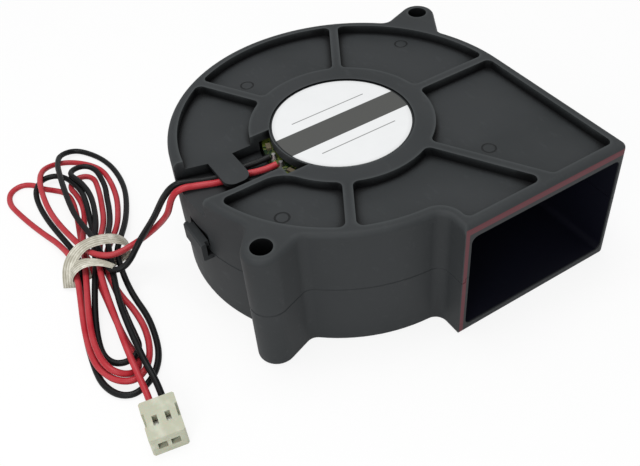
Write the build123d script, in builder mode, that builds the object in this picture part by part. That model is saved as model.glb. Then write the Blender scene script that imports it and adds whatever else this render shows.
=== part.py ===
from build123d import *

import os
from math import atan2, cos, pi, radians, sin, tan

# A flat centrifugal blower: a scroll housing split at mid height, a motor hung from the label side,
# a drum impeller that draws air in through the underside, and two leads on a tied hank.
# All sizes in millimetres. The origin is on the rotor axis in the plane of the underside.
# +Z points to the label side, +X is the way the air leaves, +Y is towards the straight far wall.

# Housing envelope
height = 30.0
parting_z = 15.2
outlet_x = 40.5
duct_near_y = 0.2
far_wall_y = 41.0
scroll_right = 34.1
scroll_near = 35.9
scroll_left = 38.8
wall = 1.7
floor_thickness = 1.8
ceiling_depth = 3.3
edge_round = 1.2
base_round = 0.6
duct_round = 1.5
tongue_round = 2.6
corner_round = 1.5
parting_chamfer = 0.2
lip_thickness = 0.75
lip_height = 1.0
fit_gap = 0.1

# Mounting posts: two through holes on a line past the rotor axis
mount_spacing = 85.0
mount_angle = -55.9
mount_middle = (-1.24, 3.17)
post_radius = 4.05
mount_hole_radius = 2.2
lug_blend = 2.4
near_lug_spread = (9.0, 9.5)
far_lug_spread = (11.0, 8.5)

# Label side
pocket_depth = 2.0
rim_width = 2.2
pocket_round = 1.4
channel_blend = 7.0
hub_ring_radius = 19.6
rib_width = 2.0
rib_angles = (30, 90, 150, 210, 330)
hub_cavity_radius = 17.8
hub_ceiling_depth = 2.1
label_gap = 0.5
label_thickness = 0.15
label_recess_depth = 0.4
label_recess_radius = 15.2

# Lead channel from the hub to the rim
channel_left = -6.6
channel_right = 5.5
channel_rib = 1.3
channel_floor_depth = 4.4
channel_floor_thickness = 0.7
opening_left = -6.6
opening_right = 8.0
tab_inner_y = -22.9
tab_outer_y = -28.5
tab_reach_x = 2.4
tab_thickness = 0.85
tab_round = 2.2
notch_left = -8.2
notch_right = 4.6
rim_dent_x = 6.6
rim_dent_width = 3.2
rim_dent_height = 2.6

# Snap latches between the shells
latch_half_width = 4.2
latch_reach = 1.6
latch_thickness = 1.1
latch_root = 1.0
latch_rise = 3.4
latch_lip = 0.85
latch_hook_z = 2.0
latch_end = 0.8
near_latch_x = 0.6
latch_slot_depth = 0.95

# Inlet
inlet_radius = 23.8
inlet_lip_width = 1.5
inlet_lip_height = 1.2
inlet_lip_chamfer = 0.4

# Impeller
impeller_radius = 29.4
disc_depth = 6.0
disc_thickness = 1.3
hub_length = 16.0
hub_draft = 1.0
hub_wall = 1.3
hub_corner = 2.0
hub_fairing = 2.0
hub_bore_radius = 14.1
blade_count = 31
blade_inner_radius = 24.2
blade_sweep = 7.5
blade_bow = 0.85
blade_thickness = 0.85
blade_tip_inset = 0.3
end_ring_clearance = 1.4
end_ring_height = 1.4
end_ring_width = 1.5

# Rotor
shaft_radius = 1.5
shaft_inset = 0.3
shaft_end_gap = 0.2
shaft_chamfer = 0.25
bush_radius = 2.6
bush_flange = 0.8
bush_inset = 0.2
bush_length = 2.6
press_gap = 0.02
yoke_thickness = 0.8
yoke_inset = 0.8
yoke_eye_radius = 3.6
magnet_thickness = 1.86
magnet_length = 10.4
magnet_inset = 1.2

# Bearings, 3 x 7 x 3
bearing_radius = 3.5
bearing_width = 3.0
bearing_spacing = 11.2
upper_bearing_depth = 4.3
ball_radius = 0.55
ball_count = 6
ball_pitch_radius = 2.55
ball_gap = 0.05
outer_ball_gap = 0.08
inner_race_radius = 2.15
outer_race_radius = 2.95
cage_half_width = 0.15
cage_thickness = 0.25
shield_thickness = 0.15
shield_gap = 0.08

# Bearing tube
tube_radius = 4.4
tube_overhang = 0.5
tube_shoulder_radius = 3.1
tube_seat_depth = 0.8

# Shaft end and preload
clip_groove_radius = 1.2
clip_thickness = 0.3
clip_radius = 2.2
washer_thickness = 0.2
washer_radius = 2.1
clip_play = 0.03
spring_wire_radius = 0.14
spring_radius = 2.0
spring_turns = 2.5

# Stator
core_height = 8.0
core_to_board = 5.0
pole_count = 4
pole_tip_radius = 10.8
pole_shoe = 1.5
pole_gap_angle = 14.0
core_ring = 2.1
leg_width = 3.6
insulator_thickness = 0.6
insulator_wall = 0.55
insulator_wall_height = 1.5
flange_gap_angle = 30.0
coil_inner_radius = 7.15
coil_length = 1.95
coil_build = 1.2
coil_gap = 0.06
post_pitch_radius = 7.4
insulator_post_radius = 0.9

# Circuit board and what is on it
board_depth = 2.1
board_thickness = 1.0
board_radius = 17.2
board_eye_radius = 5.2
pin_side = 0.6
pin_depth = 3.8
pin_rise = 0.6
pin_hole_radius = 0.48
lead_solder_radius = 0.8
lead_solder_top = 0.4
lead_solder_height = 1.0
lead_joint_y = -15.95
lead_start_y = -16.85
lead_joint_x = 1.5
driver_chip_size = (3.9, 4.9, 1.2)
driver_leg_size = (1.2, 0.42, 0.3)
driver_leg_count = 4
driver_leg_pitch = 1.27
hall_body_size = (1.5, 3.0, 3.0)
hall_radius = 12.25
hall_angle = 135.0
hall_chamfer = 0.3
chip_part_size = (1.0, 1.8, 0.6)
opening_part_radius = 16.05
opening_part_angle = -108.0
opening_part_step = 35.0
lower_part_angle = 20.0
lower_part_step = 33.0

# Leads, hank, tie and connector
lead_radius = 0.7
hank_height = 5.8
hank_waist = (-21.7, -54.1)
hank_angle = -10.0
waist_half_width = 5.4
waist_lift = 1.2
tie_width = 4.4
tie_thickness = 0.75
tie_gap = 0.25
tie_end_length = 3.0
connector_place = (22.6, -58.5)
connector_angle = -10.0
connector_length = 9.0
connector_width = 7.0
connector_height = 5.0
connector_pitch = 2.5
connector_axis_z = 2.5
cavity_side = 1.75
window_start = 3.8
window_width = 1.0
window_length = 2.2
connector_chamfer = 0.35
waist_start = 2.7
waist_length = 3.1
waist_inset = 0.5
waist_depth = 3.25
contact_side = 1.45
contact_sheet = 0.2
contact_inset = 1.0

# Tails of the leads in the connector's frame: along it, out from its middle, up from its axis
tail_run = [(-10.0, 0.9, 2.11), (-6.6, 1.0, 1.69)]
tail_straight = 3.3
tail_entry = 1.0

black_inner_route = [
    (-lead_joint_x, lead_start_y, 27.52),
    (-1.3, -19.3, 27.15),
    (-0.5, -22.6, 26.36),
    (0.6, -25.6, 26.34),
    (-1.4, -30.2, 26.34),
    (-4.5, -33.3, 26.5),
    (-6.2, -35.6, 26.6),
]
red_inner_route = [
    (lead_joint_x, lead_start_y, 27.52),
    (1.6, -19.3, 27.15),
    (2.2, -22.6, 26.36),
    (2.9, -25.9, 26.34),
    (0.9, -30.6, 26.34),
    (-2.3, -33.5, 26.45),
    (-4.2, -35.7, 26.5),
]
black_route = [
    (-6.2, -35.6, 26.6),
    (-8.2, -38.3, 26.72),
    (-10.2, -41.2, 24.2),
    (-11.9, -44.0, 18.8),
    (-13.1, -46.6, 13.4),
    (-13.6, -49.4, 8.4),
    (-14.6, -52.6, 4.6),
]
red_route = [
    (-4.2, -35.7, 26.5),
    (-6.4, -38.2, 26.57),
    (-8.2, -40.9, 24.0),
    (-10.1, -42.8, 19.4),
    (-12.4, -44.4, 14.0),
    (-15.4, -46.4, 9.8),
    (-17.0, -50.8, 6.4),
]
# Side of the hank, anticlockwise from where the lower loops leave the tie
hank_outline = [
    (-12.5, -50.9),
    (-2.0, -49.8),
    (8.0, -52.0),
    (14.4, -56.3),
    (15.0, -61.8),
    (8.0, -65.2),
    (-4.0, -63.4),
    (-16.0, -60.2),
    (-25.6, -59.3),
    (-37.5, -60.6),
    (-50.0, -64.4),
    (-56.6, -62.0),
    (-59.6, -54.0),
    (-64.2, -46.6),
    (-57.0, -39.8),
    (-40.0, -40.4),
    (-27.0, -45.6),
    (-18.2, -49.6),
]

# Worked-out places
right_arc_radius = duct_near_y + scroll_near
right_arc_centre = (scroll_right - right_arc_radius, duct_near_y)
near_arc_radius = right_arc_centre[0] + scroll_left
near_arc_centre = (right_arc_centre[0], near_arc_radius - scroll_near)
left_arc_radius = far_wall_y - near_arc_centre[1]
left_arc_centre = (left_arc_radius - scroll_left, near_arc_centre[1])
ceiling_z = height - ceiling_depth
pocket_floor_z = height - pocket_depth
channel_floor_z = height - channel_floor_depth
label_floor_z = height - label_recess_depth
label_radius = label_recess_radius - label_gap
hub_ceiling_z = height - hub_ceiling_depth
disc_top_z = height - disc_depth
disc_bottom_z = disc_top_z - disc_thickness
hub_bottom_z = disc_top_z - hub_length
hub_bottom_radius = hub_bore_radius + hub_wall
hub_top_radius = hub_bottom_radius + hub_draft
end_ring_bottom_z = floor_thickness + inlet_lip_height + end_ring_clearance
end_ring_top_z = end_ring_bottom_z + end_ring_height
yoke_radius = hub_bore_radius - press_gap
yoke_bottom_z = hub_bottom_z + hub_wall + press_gap
yoke_top_z = disc_top_z - yoke_inset
magnet_outer_radius = yoke_radius - yoke_thickness - press_gap
magnet_top_z = yoke_top_z - magnet_inset
bush_top_z = hub_bottom_z - bush_inset + bush_length
shaft_bottom_z = hub_bottom_z + shaft_inset
shaft_top_z = hub_ceiling_z - shaft_end_gap
upper_bearing_z = hub_ceiling_z - upper_bearing_depth
lower_bearing_z = upper_bearing_z - bearing_spacing
clip_bottom_z = upper_bearing_z + bearing_width + washer_thickness + 2 * clip_play
board_bottom_z = hub_ceiling_z - board_depth
board_top_z = board_bottom_z + board_thickness
pin_bottom_z = board_bottom_z - pin_depth
core_top_z = board_bottom_z - core_to_board
core_middle_z = core_top_z - core_height / 2
core_bottom_z = core_top_z - core_height
core_bore_radius = tube_radius + press_gap
coil_end_radius = coil_inner_radius + coil_length + coil_gap


def mount_point(side):
    """Centre of one mounting post: side is +1 for the near post and -1 for the far one."""
    reach = side * mount_spacing / 2
    x = mount_middle[0] + reach * cos(radians(mount_angle))
    y = mount_middle[1] + reach * sin(radians(mount_angle))
    return (x, y)


near_post = mount_point(1)
far_post = mount_point(-1)


def scroll_face():
    """Plan of the scroll and its duct, without the mounting lugs."""
    with BuildSketch() as face:
        with BuildLine():
            CenterArc(right_arc_centre, right_arc_radius, 0, -90)
            CenterArc(near_arc_centre, near_arc_radius, 270, -90)
            CenterArc(left_arc_centre, left_arc_radius, 180, -90)
            Polyline(
                (left_arc_centre[0], far_wall_y),
                (outlet_x, far_wall_y),
                (outlet_x, duct_near_y),
                (scroll_right, duct_near_y),
            )
        make_face()
        fillet(face.vertices().sort_by_distance((scroll_right, duct_near_y))[0], tongue_round)
        fillet(face.vertices().sort_by_distance((outlet_x, far_wall_y))[0], corner_round)
    return face.sketch


def lug_feet(post, arc_centre, arc_radius, spread):
    """Two points just inside the scroll wall that a lug's sides run to."""
    middle = atan2(post[1] - arc_centre[1], post[0] - arc_centre[0])
    reach = arc_radius - wall / 4
    angles = (middle - radians(spread[0]), middle + radians(spread[1]))
    return [(arc_centre[0] + reach * cos(a), arc_centre[1] + reach * sin(a)) for a in angles]


near_feet = lug_feet(near_post, right_arc_centre, right_arc_radius, near_lug_spread)
far_feet = lug_feet(far_post, left_arc_centre, left_arc_radius, far_lug_spread)


def lug_face(post, feet):
    """Round post with sides that run tangent from it to the two feet."""
    with BuildSketch() as face:
        with BuildLine():
            CenterArc(post, post_radius, 0, 360)
            Line(feet[0], feet[1])
        make_hull()
    return face.sketch


def body_face():
    """Plan of the whole housing: scroll, duct and the two lugs, blended where they meet."""
    with BuildSketch() as face:
        add(scroll_face())
        add(lug_face(near_post, near_feet))
        add(lug_face(far_post, far_feet))
        for foot in near_feet + far_feet:
            fillet(face.vertices().sort_by_distance(foot)[0], lug_blend)
    return face.sketch


def chamber_face(thickness=wall):
    """Plan of the air space inside a wall of the given thickness, open at the outlet."""
    with BuildSketch() as face:
        add(scroll_face())
        offset(amount=-thickness)
        duct_width = far_wall_y - duct_near_y - 2 * thickness
        with Locations((outlet_x + 1, duct_near_y + thickness)):
            Rectangle(outlet_x - scroll_right, duct_width, align=(Align.MAX, Align.MIN))
    return face.sketch


def pocket_face():
    """Plan of the shallow pockets between hub, ribs and rim on the label side."""
    with BuildSketch() as face:
        add(scroll_face())
        offset(amount=-rim_width)
        Circle(hub_ring_radius, mode=Mode.SUBTRACT)
        for angle in rib_angles:
            with Locations(Location((0, 0, 0), (0, 0, angle))):
                Rectangle(
                    2 * outlet_x, rib_width, align=(Align.MIN, Align.CENTER), mode=Mode.SUBTRACT
                )
        left = channel_left + 2 * pocket_round
        right = channel_right + channel_rib
        with Locations((left, 0)):
            Rectangle(
                right - left, 2 * scroll_near, align=(Align.MIN, Align.MAX), mode=Mode.SUBTRACT
            )
        corner = face.vertices().sort_by_distance((right, -hub_ring_radius))[0]
        fillet(corner, radius=channel_blend)
        offset(amount=-pocket_round)
        offset(amount=pocket_round)
    return face.sketch


def channel_face(margin=0.0):
    """Plan of the lead channel, from the hub to past the rim, grown by a margin on both sides."""
    with BuildSketch() as face:
        Polygon(
            (channel_left - margin, -hub_cavity_radius + wall),
            (channel_left - margin, tab_outer_y),
            (notch_left - margin, -scroll_near + wall),
            (notch_left - margin, -scroll_near - wall),
            (notch_right + margin, -scroll_near - wall),
            (channel_right + margin, tab_outer_y),
            (channel_right + margin, -hub_cavity_radius + wall),
            align=None,
        )
    return face.sketch


def latch_places():
    """Where the snap latches stand: on the near, left and far walls, facing outwards."""
    return [
        Location((near_latch_x, -scroll_near, parting_z), (0, 0, -90)),
        Location((-scroll_left, near_arc_centre[1], parting_z), (0, 0, 180)),
        Location((outlet_x / 2, far_wall_y, parting_z), (0, 0, 90)),
    ]


def latch_arm():
    """Latch of the lower shell: a root on the wall, an arm past the parting line and a hook."""
    with BuildPart() as latch:
        with Locations((-wall / 2, 0, 0)):
            Box(
                latch_reach + wall / 2,
                2 * latch_half_width,
                latch_root,
                align=(Align.MIN, Align.CENTER, Align.MAX),
            )
        with Locations((latch_reach, 0, 0)):
            Box(
                latch_thickness,
                2 * latch_half_width,
                latch_rise,
                align=(Align.MAX, Align.CENTER, Align.MIN),
            )
        with Locations((latch_reach - latch_thickness, 0, latch_hook_z)):
            Box(
                latch_lip,
                2 * (latch_half_width - latch_end),
                latch_rise - latch_hook_z,
                align=(Align.MAX, Align.CENTER, Align.MIN),
            )
        chamfer(latch.edges().filter_by(Axis.Y).sort_by(Axis.X)[-2:], latch_thickness / 3)
    return latch.part


def latch_recess():
    """Slot in the upper shell that takes a latch's hook."""
    with BuildPart() as recess:
        with Locations((-latch_slot_depth, 0, latch_hook_z - fit_gap)):
            Box(
                wall,
                2 * (latch_half_width - latch_end) + 4 * fit_gap,
                latch_rise - latch_hook_z + wall,
                align=(Align.MIN, Align.CENTER, Align.MIN),
            )
    return recess.part


def outer_edges(shell, z):
    """Edges of a shell's outline at one height, without those of the open outlet face."""
    level = shell.faces().filter_by(Axis.Z).filter_by(lambda f: abs(f.center().Z - z) < 0.01)
    rim = level.sort_by(SortBy.AREA)[-1].outer_wire().edges()
    return rim.filter_by(lambda e: e.center().X < outlet_x - 0.01)


def duct_corners(shell, z):
    """The two inner edges of the duct at one height, along its near and far walls."""
    level = shell.edges().filter_by(Axis.X).filter_by_position(Axis.Z, z - 0.01, z + 0.01)
    return level.filter_by_position(Axis.Y, duct_near_y, far_wall_y, (False, False))


def write(builder, name):
    """Label a finished piece and write its STEP file."""
    builder.part.label = name
    export_step(builder.part, f"parts/{name}.step")


def motor_housing():
    """Upper shell: top wall with pockets, hub seat and lead channel, and the upper side walls."""
    with BuildPart() as shell:
        with BuildSketch(Plane.XY.offset(parting_z)):
            add(body_face())
        extrude(amount=height - parting_z)
        fillet(outer_edges(shell, height), edge_round)
        chamfer(outer_edges(shell, parting_z), parting_chamfer)
        with BuildSketch(Plane.XY.offset(parting_z)):
            add(chamber_face())
        extrude(amount=ceiling_z - parting_z, mode=Mode.SUBTRACT)
        fillet(duct_corners(shell, ceiling_z), duct_round)
        with BuildSketch(Plane.XY.offset(parting_z)):
            add(chamber_face(wall - lip_thickness - fit_gap))
        extrude(amount=lip_height + fit_gap, mode=Mode.SUBTRACT)
        # floor of the lead channel, hung below the ceiling
        with BuildSketch(Plane.XY.offset(channel_floor_z - channel_floor_thickness)):
            add(channel_face(channel_floor_thickness))
            add(scroll_face(), mode=Mode.INTERSECT)
        extrude(amount=ceiling_z - channel_floor_z + 2 * channel_floor_thickness)
        with BuildSketch(Plane.XY.offset(disc_top_z)):
            Circle(hub_cavity_radius)
        extrude(amount=hub_ceiling_z - disc_top_z, mode=Mode.SUBTRACT)
        with BuildSketch(Plane.XY.offset(pocket_floor_z)):
            add(pocket_face())
        extrude(amount=pocket_depth, mode=Mode.SUBTRACT)
        with BuildSketch(Plane.XY.offset(label_floor_z)):
            Circle(label_recess_radius)
        extrude(amount=label_recess_depth, mode=Mode.SUBTRACT)
        # opening at the hub's edge over the board
        with BuildSketch(Plane.XY.offset(board_top_z)):
            with Locations((opening_left, 0)):
                Rectangle(
                    opening_right - opening_left,
                    hub_cavity_radius + fit_gap,
                    align=(Align.MIN, Align.MAX),
                )
            Circle(label_recess_radius + 2 * fit_gap, mode=Mode.SUBTRACT)
        extrude(amount=height - board_top_z, mode=Mode.SUBTRACT)
        with BuildSketch(Plane.XY.offset(channel_floor_z)):
            add(channel_face())
            Circle(hub_cavity_radius - fit_gap, mode=Mode.SUBTRACT)
        extrude(amount=height - channel_floor_z, mode=Mode.SUBTRACT)
        # tab that holds the leads down in the channel
        with BuildSketch(Plane.XY.offset(pocket_floor_z - tab_thickness)) as tab:
            with Locations((channel_left - wall, (tab_inner_y + tab_outer_y) / 2)):
                Rectangle(
                    tab_reach_x - channel_left + wall,
                    tab_inner_y - tab_outer_y,
                    align=(Align.MIN, Align.CENTER),
                )
            fillet(tab.vertices().sort_by(Axis.X)[-2:], tab_round)
        extrude(amount=tab_thickness)
        # seat of the bearing tube
        with BuildSketch(Plane.XY.offset(hub_ceiling_z)):
            Circle(tube_radius + press_gap)
        extrude(amount=tube_seat_depth, mode=Mode.SUBTRACT)
        # dent in the rim beside the lead exit
        with BuildSketch(Plane.XZ.offset(scroll_near - wall / 2)):
            with Locations((rim_dent_x, height)):
                Triangle(
                    a=rim_dent_width, b=rim_dent_height, c=rim_dent_height, rotation=180,
                    align=(Align.CENTER, Align.MIN),
                )
        extrude(amount=wall, mode=Mode.SUBTRACT)
        with Locations(near_post, far_post):
            Hole(mount_hole_radius)
        with Locations(*latch_places()):
            add(latch_recess(), mode=Mode.SUBTRACT)
    return shell


def inlet_cover():
    """Lower shell: floor with the inlet, the lower side walls, the locating lip and the latches."""
    with BuildPart() as shell:
        with BuildSketch():
            add(body_face())
        extrude(amount=parting_z)
        fillet(outer_edges(shell, 0), base_round)
        chamfer(outer_edges(shell, parting_z), parting_chamfer)
        with BuildSketch(Plane.XY.offset(floor_thickness)):
            add(chamber_face())
        extrude(amount=parting_z - floor_thickness, mode=Mode.SUBTRACT)
        fillet(duct_corners(shell, floor_thickness), duct_round)
        with BuildSketch(Plane.XY.offset(parting_z - wall)):
            add(chamber_face(wall - lip_thickness))
            add(chamber_face(), mode=Mode.SUBTRACT)
            add(scroll_face(), mode=Mode.INTERSECT)
        extrude(amount=lip_height + wall)
        # raised rim round the inlet
        with BuildSketch(Plane.XZ) as rim:
            with Locations((inlet_radius, 0)):
                Rectangle(
                    inlet_lip_width,
                    floor_thickness + inlet_lip_height,
                    align=(Align.MIN, Align.MIN),
                )
            chamfer(rim.vertices().sort_by(Axis.Y)[-2:], inlet_lip_chamfer)
        revolve(axis=Axis.Z)
        with BuildSketch():
            Circle(inlet_radius)
        extrude(amount=floor_thickness, mode=Mode.SUBTRACT)
        with Locations(*latch_places()):
            add(latch_arm())
        with Locations(near_post, far_post):
            Hole(mount_hole_radius)
    return shell


def hub_label():
    """Round label in its recess on the hub."""
    with BuildPart() as label:
        with BuildSketch(Plane.XY.offset(label_floor_z)):
            Circle(label_radius)
        extrude(amount=label_thickness)
    return label


def blade_face():
    """Section of one forward-curved blade: an arc from the inlet edge to the rim of the drum."""
    root = Vector(blade_inner_radius, 0)
    lean = radians(-blade_sweep)
    tip_radius = impeller_radius - blade_tip_inset
    tip = Vector(tip_radius * cos(lean), tip_radius * sin(lean))
    chord = tip - root
    side = Vector(-chord.Y, chord.X).normalized()
    half = side * (blade_thickness / 2)
    middle = (root + tip) * 0.5 + side * blade_bow
    with BuildSketch() as face:
        with BuildLine():
            ThreePointArc(root + half, middle + half, tip + half)
            Line(tip + half, tip - half)
            ThreePointArc(tip - half, middle - half, root - half)
            Line(root - half, root + half)
        make_face()
    return face.sketch


def impeller():
    """Moulded drum: hub cup, disc, forward-curved blades and the ring that ties their ends."""
    with BuildPart() as drum:
        with BuildSketch(Plane.XZ) as hub:
            with BuildLine():
                Polyline(
                    (bush_radius + press_gap, hub_bottom_z),
                    (hub_bottom_radius, hub_bottom_z),
                    (hub_top_radius, disc_bottom_z),
                    (impeller_radius, disc_bottom_z),
                    (impeller_radius, disc_top_z),
                    (hub_bore_radius, disc_top_z),
                    (hub_bore_radius, hub_bottom_z + hub_wall),
                    (bush_radius + press_gap, hub_bottom_z + hub_wall),
                    close=True,
                )
            make_face()
            fillet(hub.vertices().sort_by_distance((hub_bottom_radius, hub_bottom_z))[0], hub_corner)
            chamfer(hub.vertices().sort_by_distance((hub_top_radius, disc_bottom_z))[0], hub_fairing)
        with BuildSketch(Plane.XZ):
            with Locations((impeller_radius, end_ring_bottom_z)):
                Rectangle(end_ring_width, end_ring_height, align=(Align.MAX, Align.MIN))
        revolve(axis=Axis.Z)
        with BuildSketch(Plane.XY.offset(end_ring_top_z)):
            with PolarLocations(0, blade_count):
                add(blade_face())
        extrude(amount=disc_bottom_z - end_ring_top_z)
    return drum


def revolved(points):
    """Solid turned about the rotor axis from a closed outline of radius and height pairs."""
    with BuildPart() as piece:
        with BuildSketch(Plane.XZ):
            Polygon(*points, align=None)
        revolve(axis=Axis.Z)
    return piece


def ring(inner, outer, bottom, top):
    """Plain ring about the rotor axis."""
    return revolved([(inner, bottom), (outer, bottom), (outer, top), (inner, top)])


def rotor_magnet():
    """Ferrite ring bonded inside the yoke."""
    inner = magnet_outer_radius - magnet_thickness
    return ring(inner, magnet_outer_radius, magnet_top_z - magnet_length, magnet_top_z)


def rotor_yoke():
    """Steel cup that closes the magnet's field, pressed into the hub."""
    return revolved(
        [
            (yoke_eye_radius, yoke_bottom_z),
            (yoke_radius, yoke_bottom_z),
            (yoke_radius, yoke_top_z),
            (yoke_radius - yoke_thickness, yoke_top_z),
            (yoke_radius - yoke_thickness, yoke_bottom_z + yoke_thickness),
            (yoke_eye_radius, yoke_bottom_z + yoke_thickness),
        ]
    )


def shaft_bush():
    """Brass bush moulded into the hub, with a flange that the plastic locks on."""
    flange_z = hub_bottom_z + hub_wall + press_gap
    return revolved(
        [
            (shaft_radius + press_gap, bush_top_z - bush_length),
            (bush_radius, bush_top_z - bush_length),
            (bush_radius, flange_z),
            (bush_radius + bush_flange, flange_z),
            (bush_radius + bush_flange, flange_z + yoke_thickness / 2),
            (bush_radius, flange_z + yoke_thickness / 2),
            (bush_radius, bush_top_z),
            (shaft_radius + press_gap, bush_top_z),
        ]
    )


def shaft():
    """Ground steel shaft with a groove for the retaining clip near its free end."""
    with BuildPart() as rod:
        with BuildSketch(Plane.XY.offset(shaft_bottom_z)):
            Circle(shaft_radius)
        extrude(amount=shaft_top_z - shaft_bottom_z)
        chamfer(rod.edges().filter_by(GeomType.CIRCLE), shaft_chamfer)
        with BuildSketch(Plane.XY.offset(clip_bottom_z - clip_play)):
            Circle(shaft_radius)
            Circle(clip_groove_radius, mode=Mode.SUBTRACT)
        extrude(amount=clip_thickness + 2 * clip_play, mode=Mode.SUBTRACT)
    return rod


def bearing_ring(bore, outside, bottom, groove_radius):
    """Bearing ring with the groove that the balls run in."""
    with BuildPart() as race:
        with BuildSketch(Plane.XZ):
            with Locations((bore, bottom)):
                Rectangle(outside - bore, bearing_width, align=(Align.MIN, Align.MIN))
            with Locations((ball_pitch_radius, bottom + bearing_width / 2)):
                Circle(groove_radius, mode=Mode.SUBTRACT)
        revolve(axis=Axis.Z)
    return race


def ball_set(bottom):
    """Balls of one bearing, and the ring of the crown cage that lies over them."""
    middle = bottom + bearing_width / 2
    with BuildPart() as balls:
        with BuildSketch(Plane.XY.offset(middle + ball_radius + ball_gap)):
            Circle(ball_pitch_radius + cage_half_width)
            Circle(ball_pitch_radius - cage_half_width, mode=Mode.SUBTRACT)
        extrude(amount=cage_thickness)
        with Locations((0, 0, middle)):
            with PolarLocations(ball_pitch_radius, ball_count):
                Sphere(ball_radius)
    return balls


def bearing_shields():
    """Thin shields that close both sides of both bearings."""
    with BuildPart() as shields:
        for bottom in (lower_bearing_z, upper_bearing_z):
            for z in (bottom, bottom + bearing_width - shield_thickness):
                with BuildSketch(Plane.XY.offset(z)):
                    Circle(outer_race_radius - press_gap)
                    Circle(inner_race_radius + shield_gap, mode=Mode.SUBTRACT)
                extrude(amount=shield_thickness)
    return shields


def bearing_tube():
    """Brass tube that carries both bearings, with a shoulder between them."""
    bore = bearing_radius + press_gap
    top = hub_ceiling_z + tube_seat_depth
    return revolved(
        [
            (bore, lower_bearing_z - tube_overhang),
            (tube_radius, lower_bearing_z - tube_overhang),
            (tube_radius, top),
            (bore, top),
            (bore, upper_bearing_z - press_gap),
            (tube_shoulder_radius, upper_bearing_z - press_gap),
            (tube_shoulder_radius, lower_bearing_z + bearing_width + press_gap),
            (bore, lower_bearing_z + bearing_width + press_gap),
        ]
    )


def retaining_clip():
    """Open spring clip in the shaft's groove."""
    with BuildPart() as clip:
        with BuildSketch(Plane.XY.offset(clip_bottom_z)):
            Circle(clip_radius)
            Circle(clip_groove_radius + press_gap, mode=Mode.SUBTRACT)
            with Locations((clip_radius, 0)):
                Rectangle(2 * clip_radius, clip_groove_radius, mode=Mode.SUBTRACT)
        extrude(amount=clip_thickness)
    return clip


def preload_spring():
    """Small coil spring round the shaft, between the bush and the lower bearing's inner ring."""
    rise = lower_bearing_z - bush_top_z - 2 * spring_wire_radius - 2 * clip_play
    with BuildPart() as spring:
        with BuildLine(Plane.XY.offset(bush_top_z + spring_wire_radius + clip_play)) as coil:
            Helix(rise / spring_turns, rise, spring_radius)
        with BuildSketch(Plane(coil.line @ 0, z_dir=coil.line % 0)):
            RegularPolygon(spring_wire_radius, 6)
        sweep(is_frenet=True)
    return spring


def pole_face(tip_radius, ring_width, leg, shoe, gap_angle):
    """Plan of the four-pole stator: a ring on the tube, straight legs and curved shoes."""
    with BuildSketch() as face:
        Circle(tip_radius)
        Circle(tip_radius - shoe, mode=Mode.SUBTRACT)
        with PolarLocations(0, pole_count, start_angle=180 / pole_count):
            slot = 2 * tip_radius * sin(radians(gap_angle / 2))
            Rectangle(2 * tip_radius, slot, align=(Align.MIN, Align.CENTER), mode=Mode.SUBTRACT)
        with PolarLocations(0, pole_count):
            Rectangle(tip_radius - shoe / 2, leg, align=(Align.MIN, Align.CENTER))
        Circle(core_bore_radius + ring_width)
        Circle(core_bore_radius, mode=Mode.SUBTRACT)
    return face.sketch


def stator_core():
    """Stack of steel laminations with four wound poles."""
    with BuildPart() as core:
        with BuildSketch(Plane.XY.offset(core_bottom_z)):
            add(pole_face(pole_tip_radius, core_ring, leg_width, pole_shoe, pole_gap_angle))
        extrude(amount=core_height)
    return core


def insulator(sign):
    """Nylon insulator on one face of the core: +1 above it, with board posts, or -1 below it."""
    face_z = core_middle_z + sign * core_height / 2
    leg = leg_width + 2 * insulator_wall
    wall_radius = coil_inner_radius - coil_gap
    flange_radius = coil_end_radius + insulator_wall
    corners = PolarLocations(post_pitch_radius, pole_count, start_angle=180 / pole_count).locations
    with BuildPart() as frame:
        with BuildSketch(Plane.XY.offset(face_z)):
            add(
                pole_face(
                    flange_radius, wall_radius - core_bore_radius, leg, insulator_wall, flange_gap_angle
                )
            )
        extrude(amount=sign * insulator_thickness)
        with BuildSketch(Plane.XY.offset(face_z + sign * insulator_thickness)):
            Circle(wall_radius)
            Circle(wall_radius - insulator_wall, mode=Mode.SUBTRACT)
        extrude(amount=sign * insulator_wall_height)
        with BuildSketch(Plane.XY.offset(face_z + sign * insulator_thickness)):
            add(pole_face(flange_radius, 0, leg, insulator_wall, flange_gap_angle))
            Circle(coil_end_radius, mode=Mode.SUBTRACT)
        extrude(amount=sign * insulator_wall_height)
        if sign > 0:
            with BuildSketch(Plane.XY.offset(face_z)):
                with Locations(*corners):
                    Circle(insulator_post_radius)
            extrude(amount=board_bottom_z - face_z)
            with BuildSketch(Plane.XY.offset(pin_bottom_z)):
                with Locations(*corners):
                    Rectangle(pin_side + 2 * press_gap, pin_side + 2 * press_gap)
            extrude(amount=board_bottom_z - pin_bottom_z, mode=Mode.SUBTRACT)
    return frame


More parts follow.
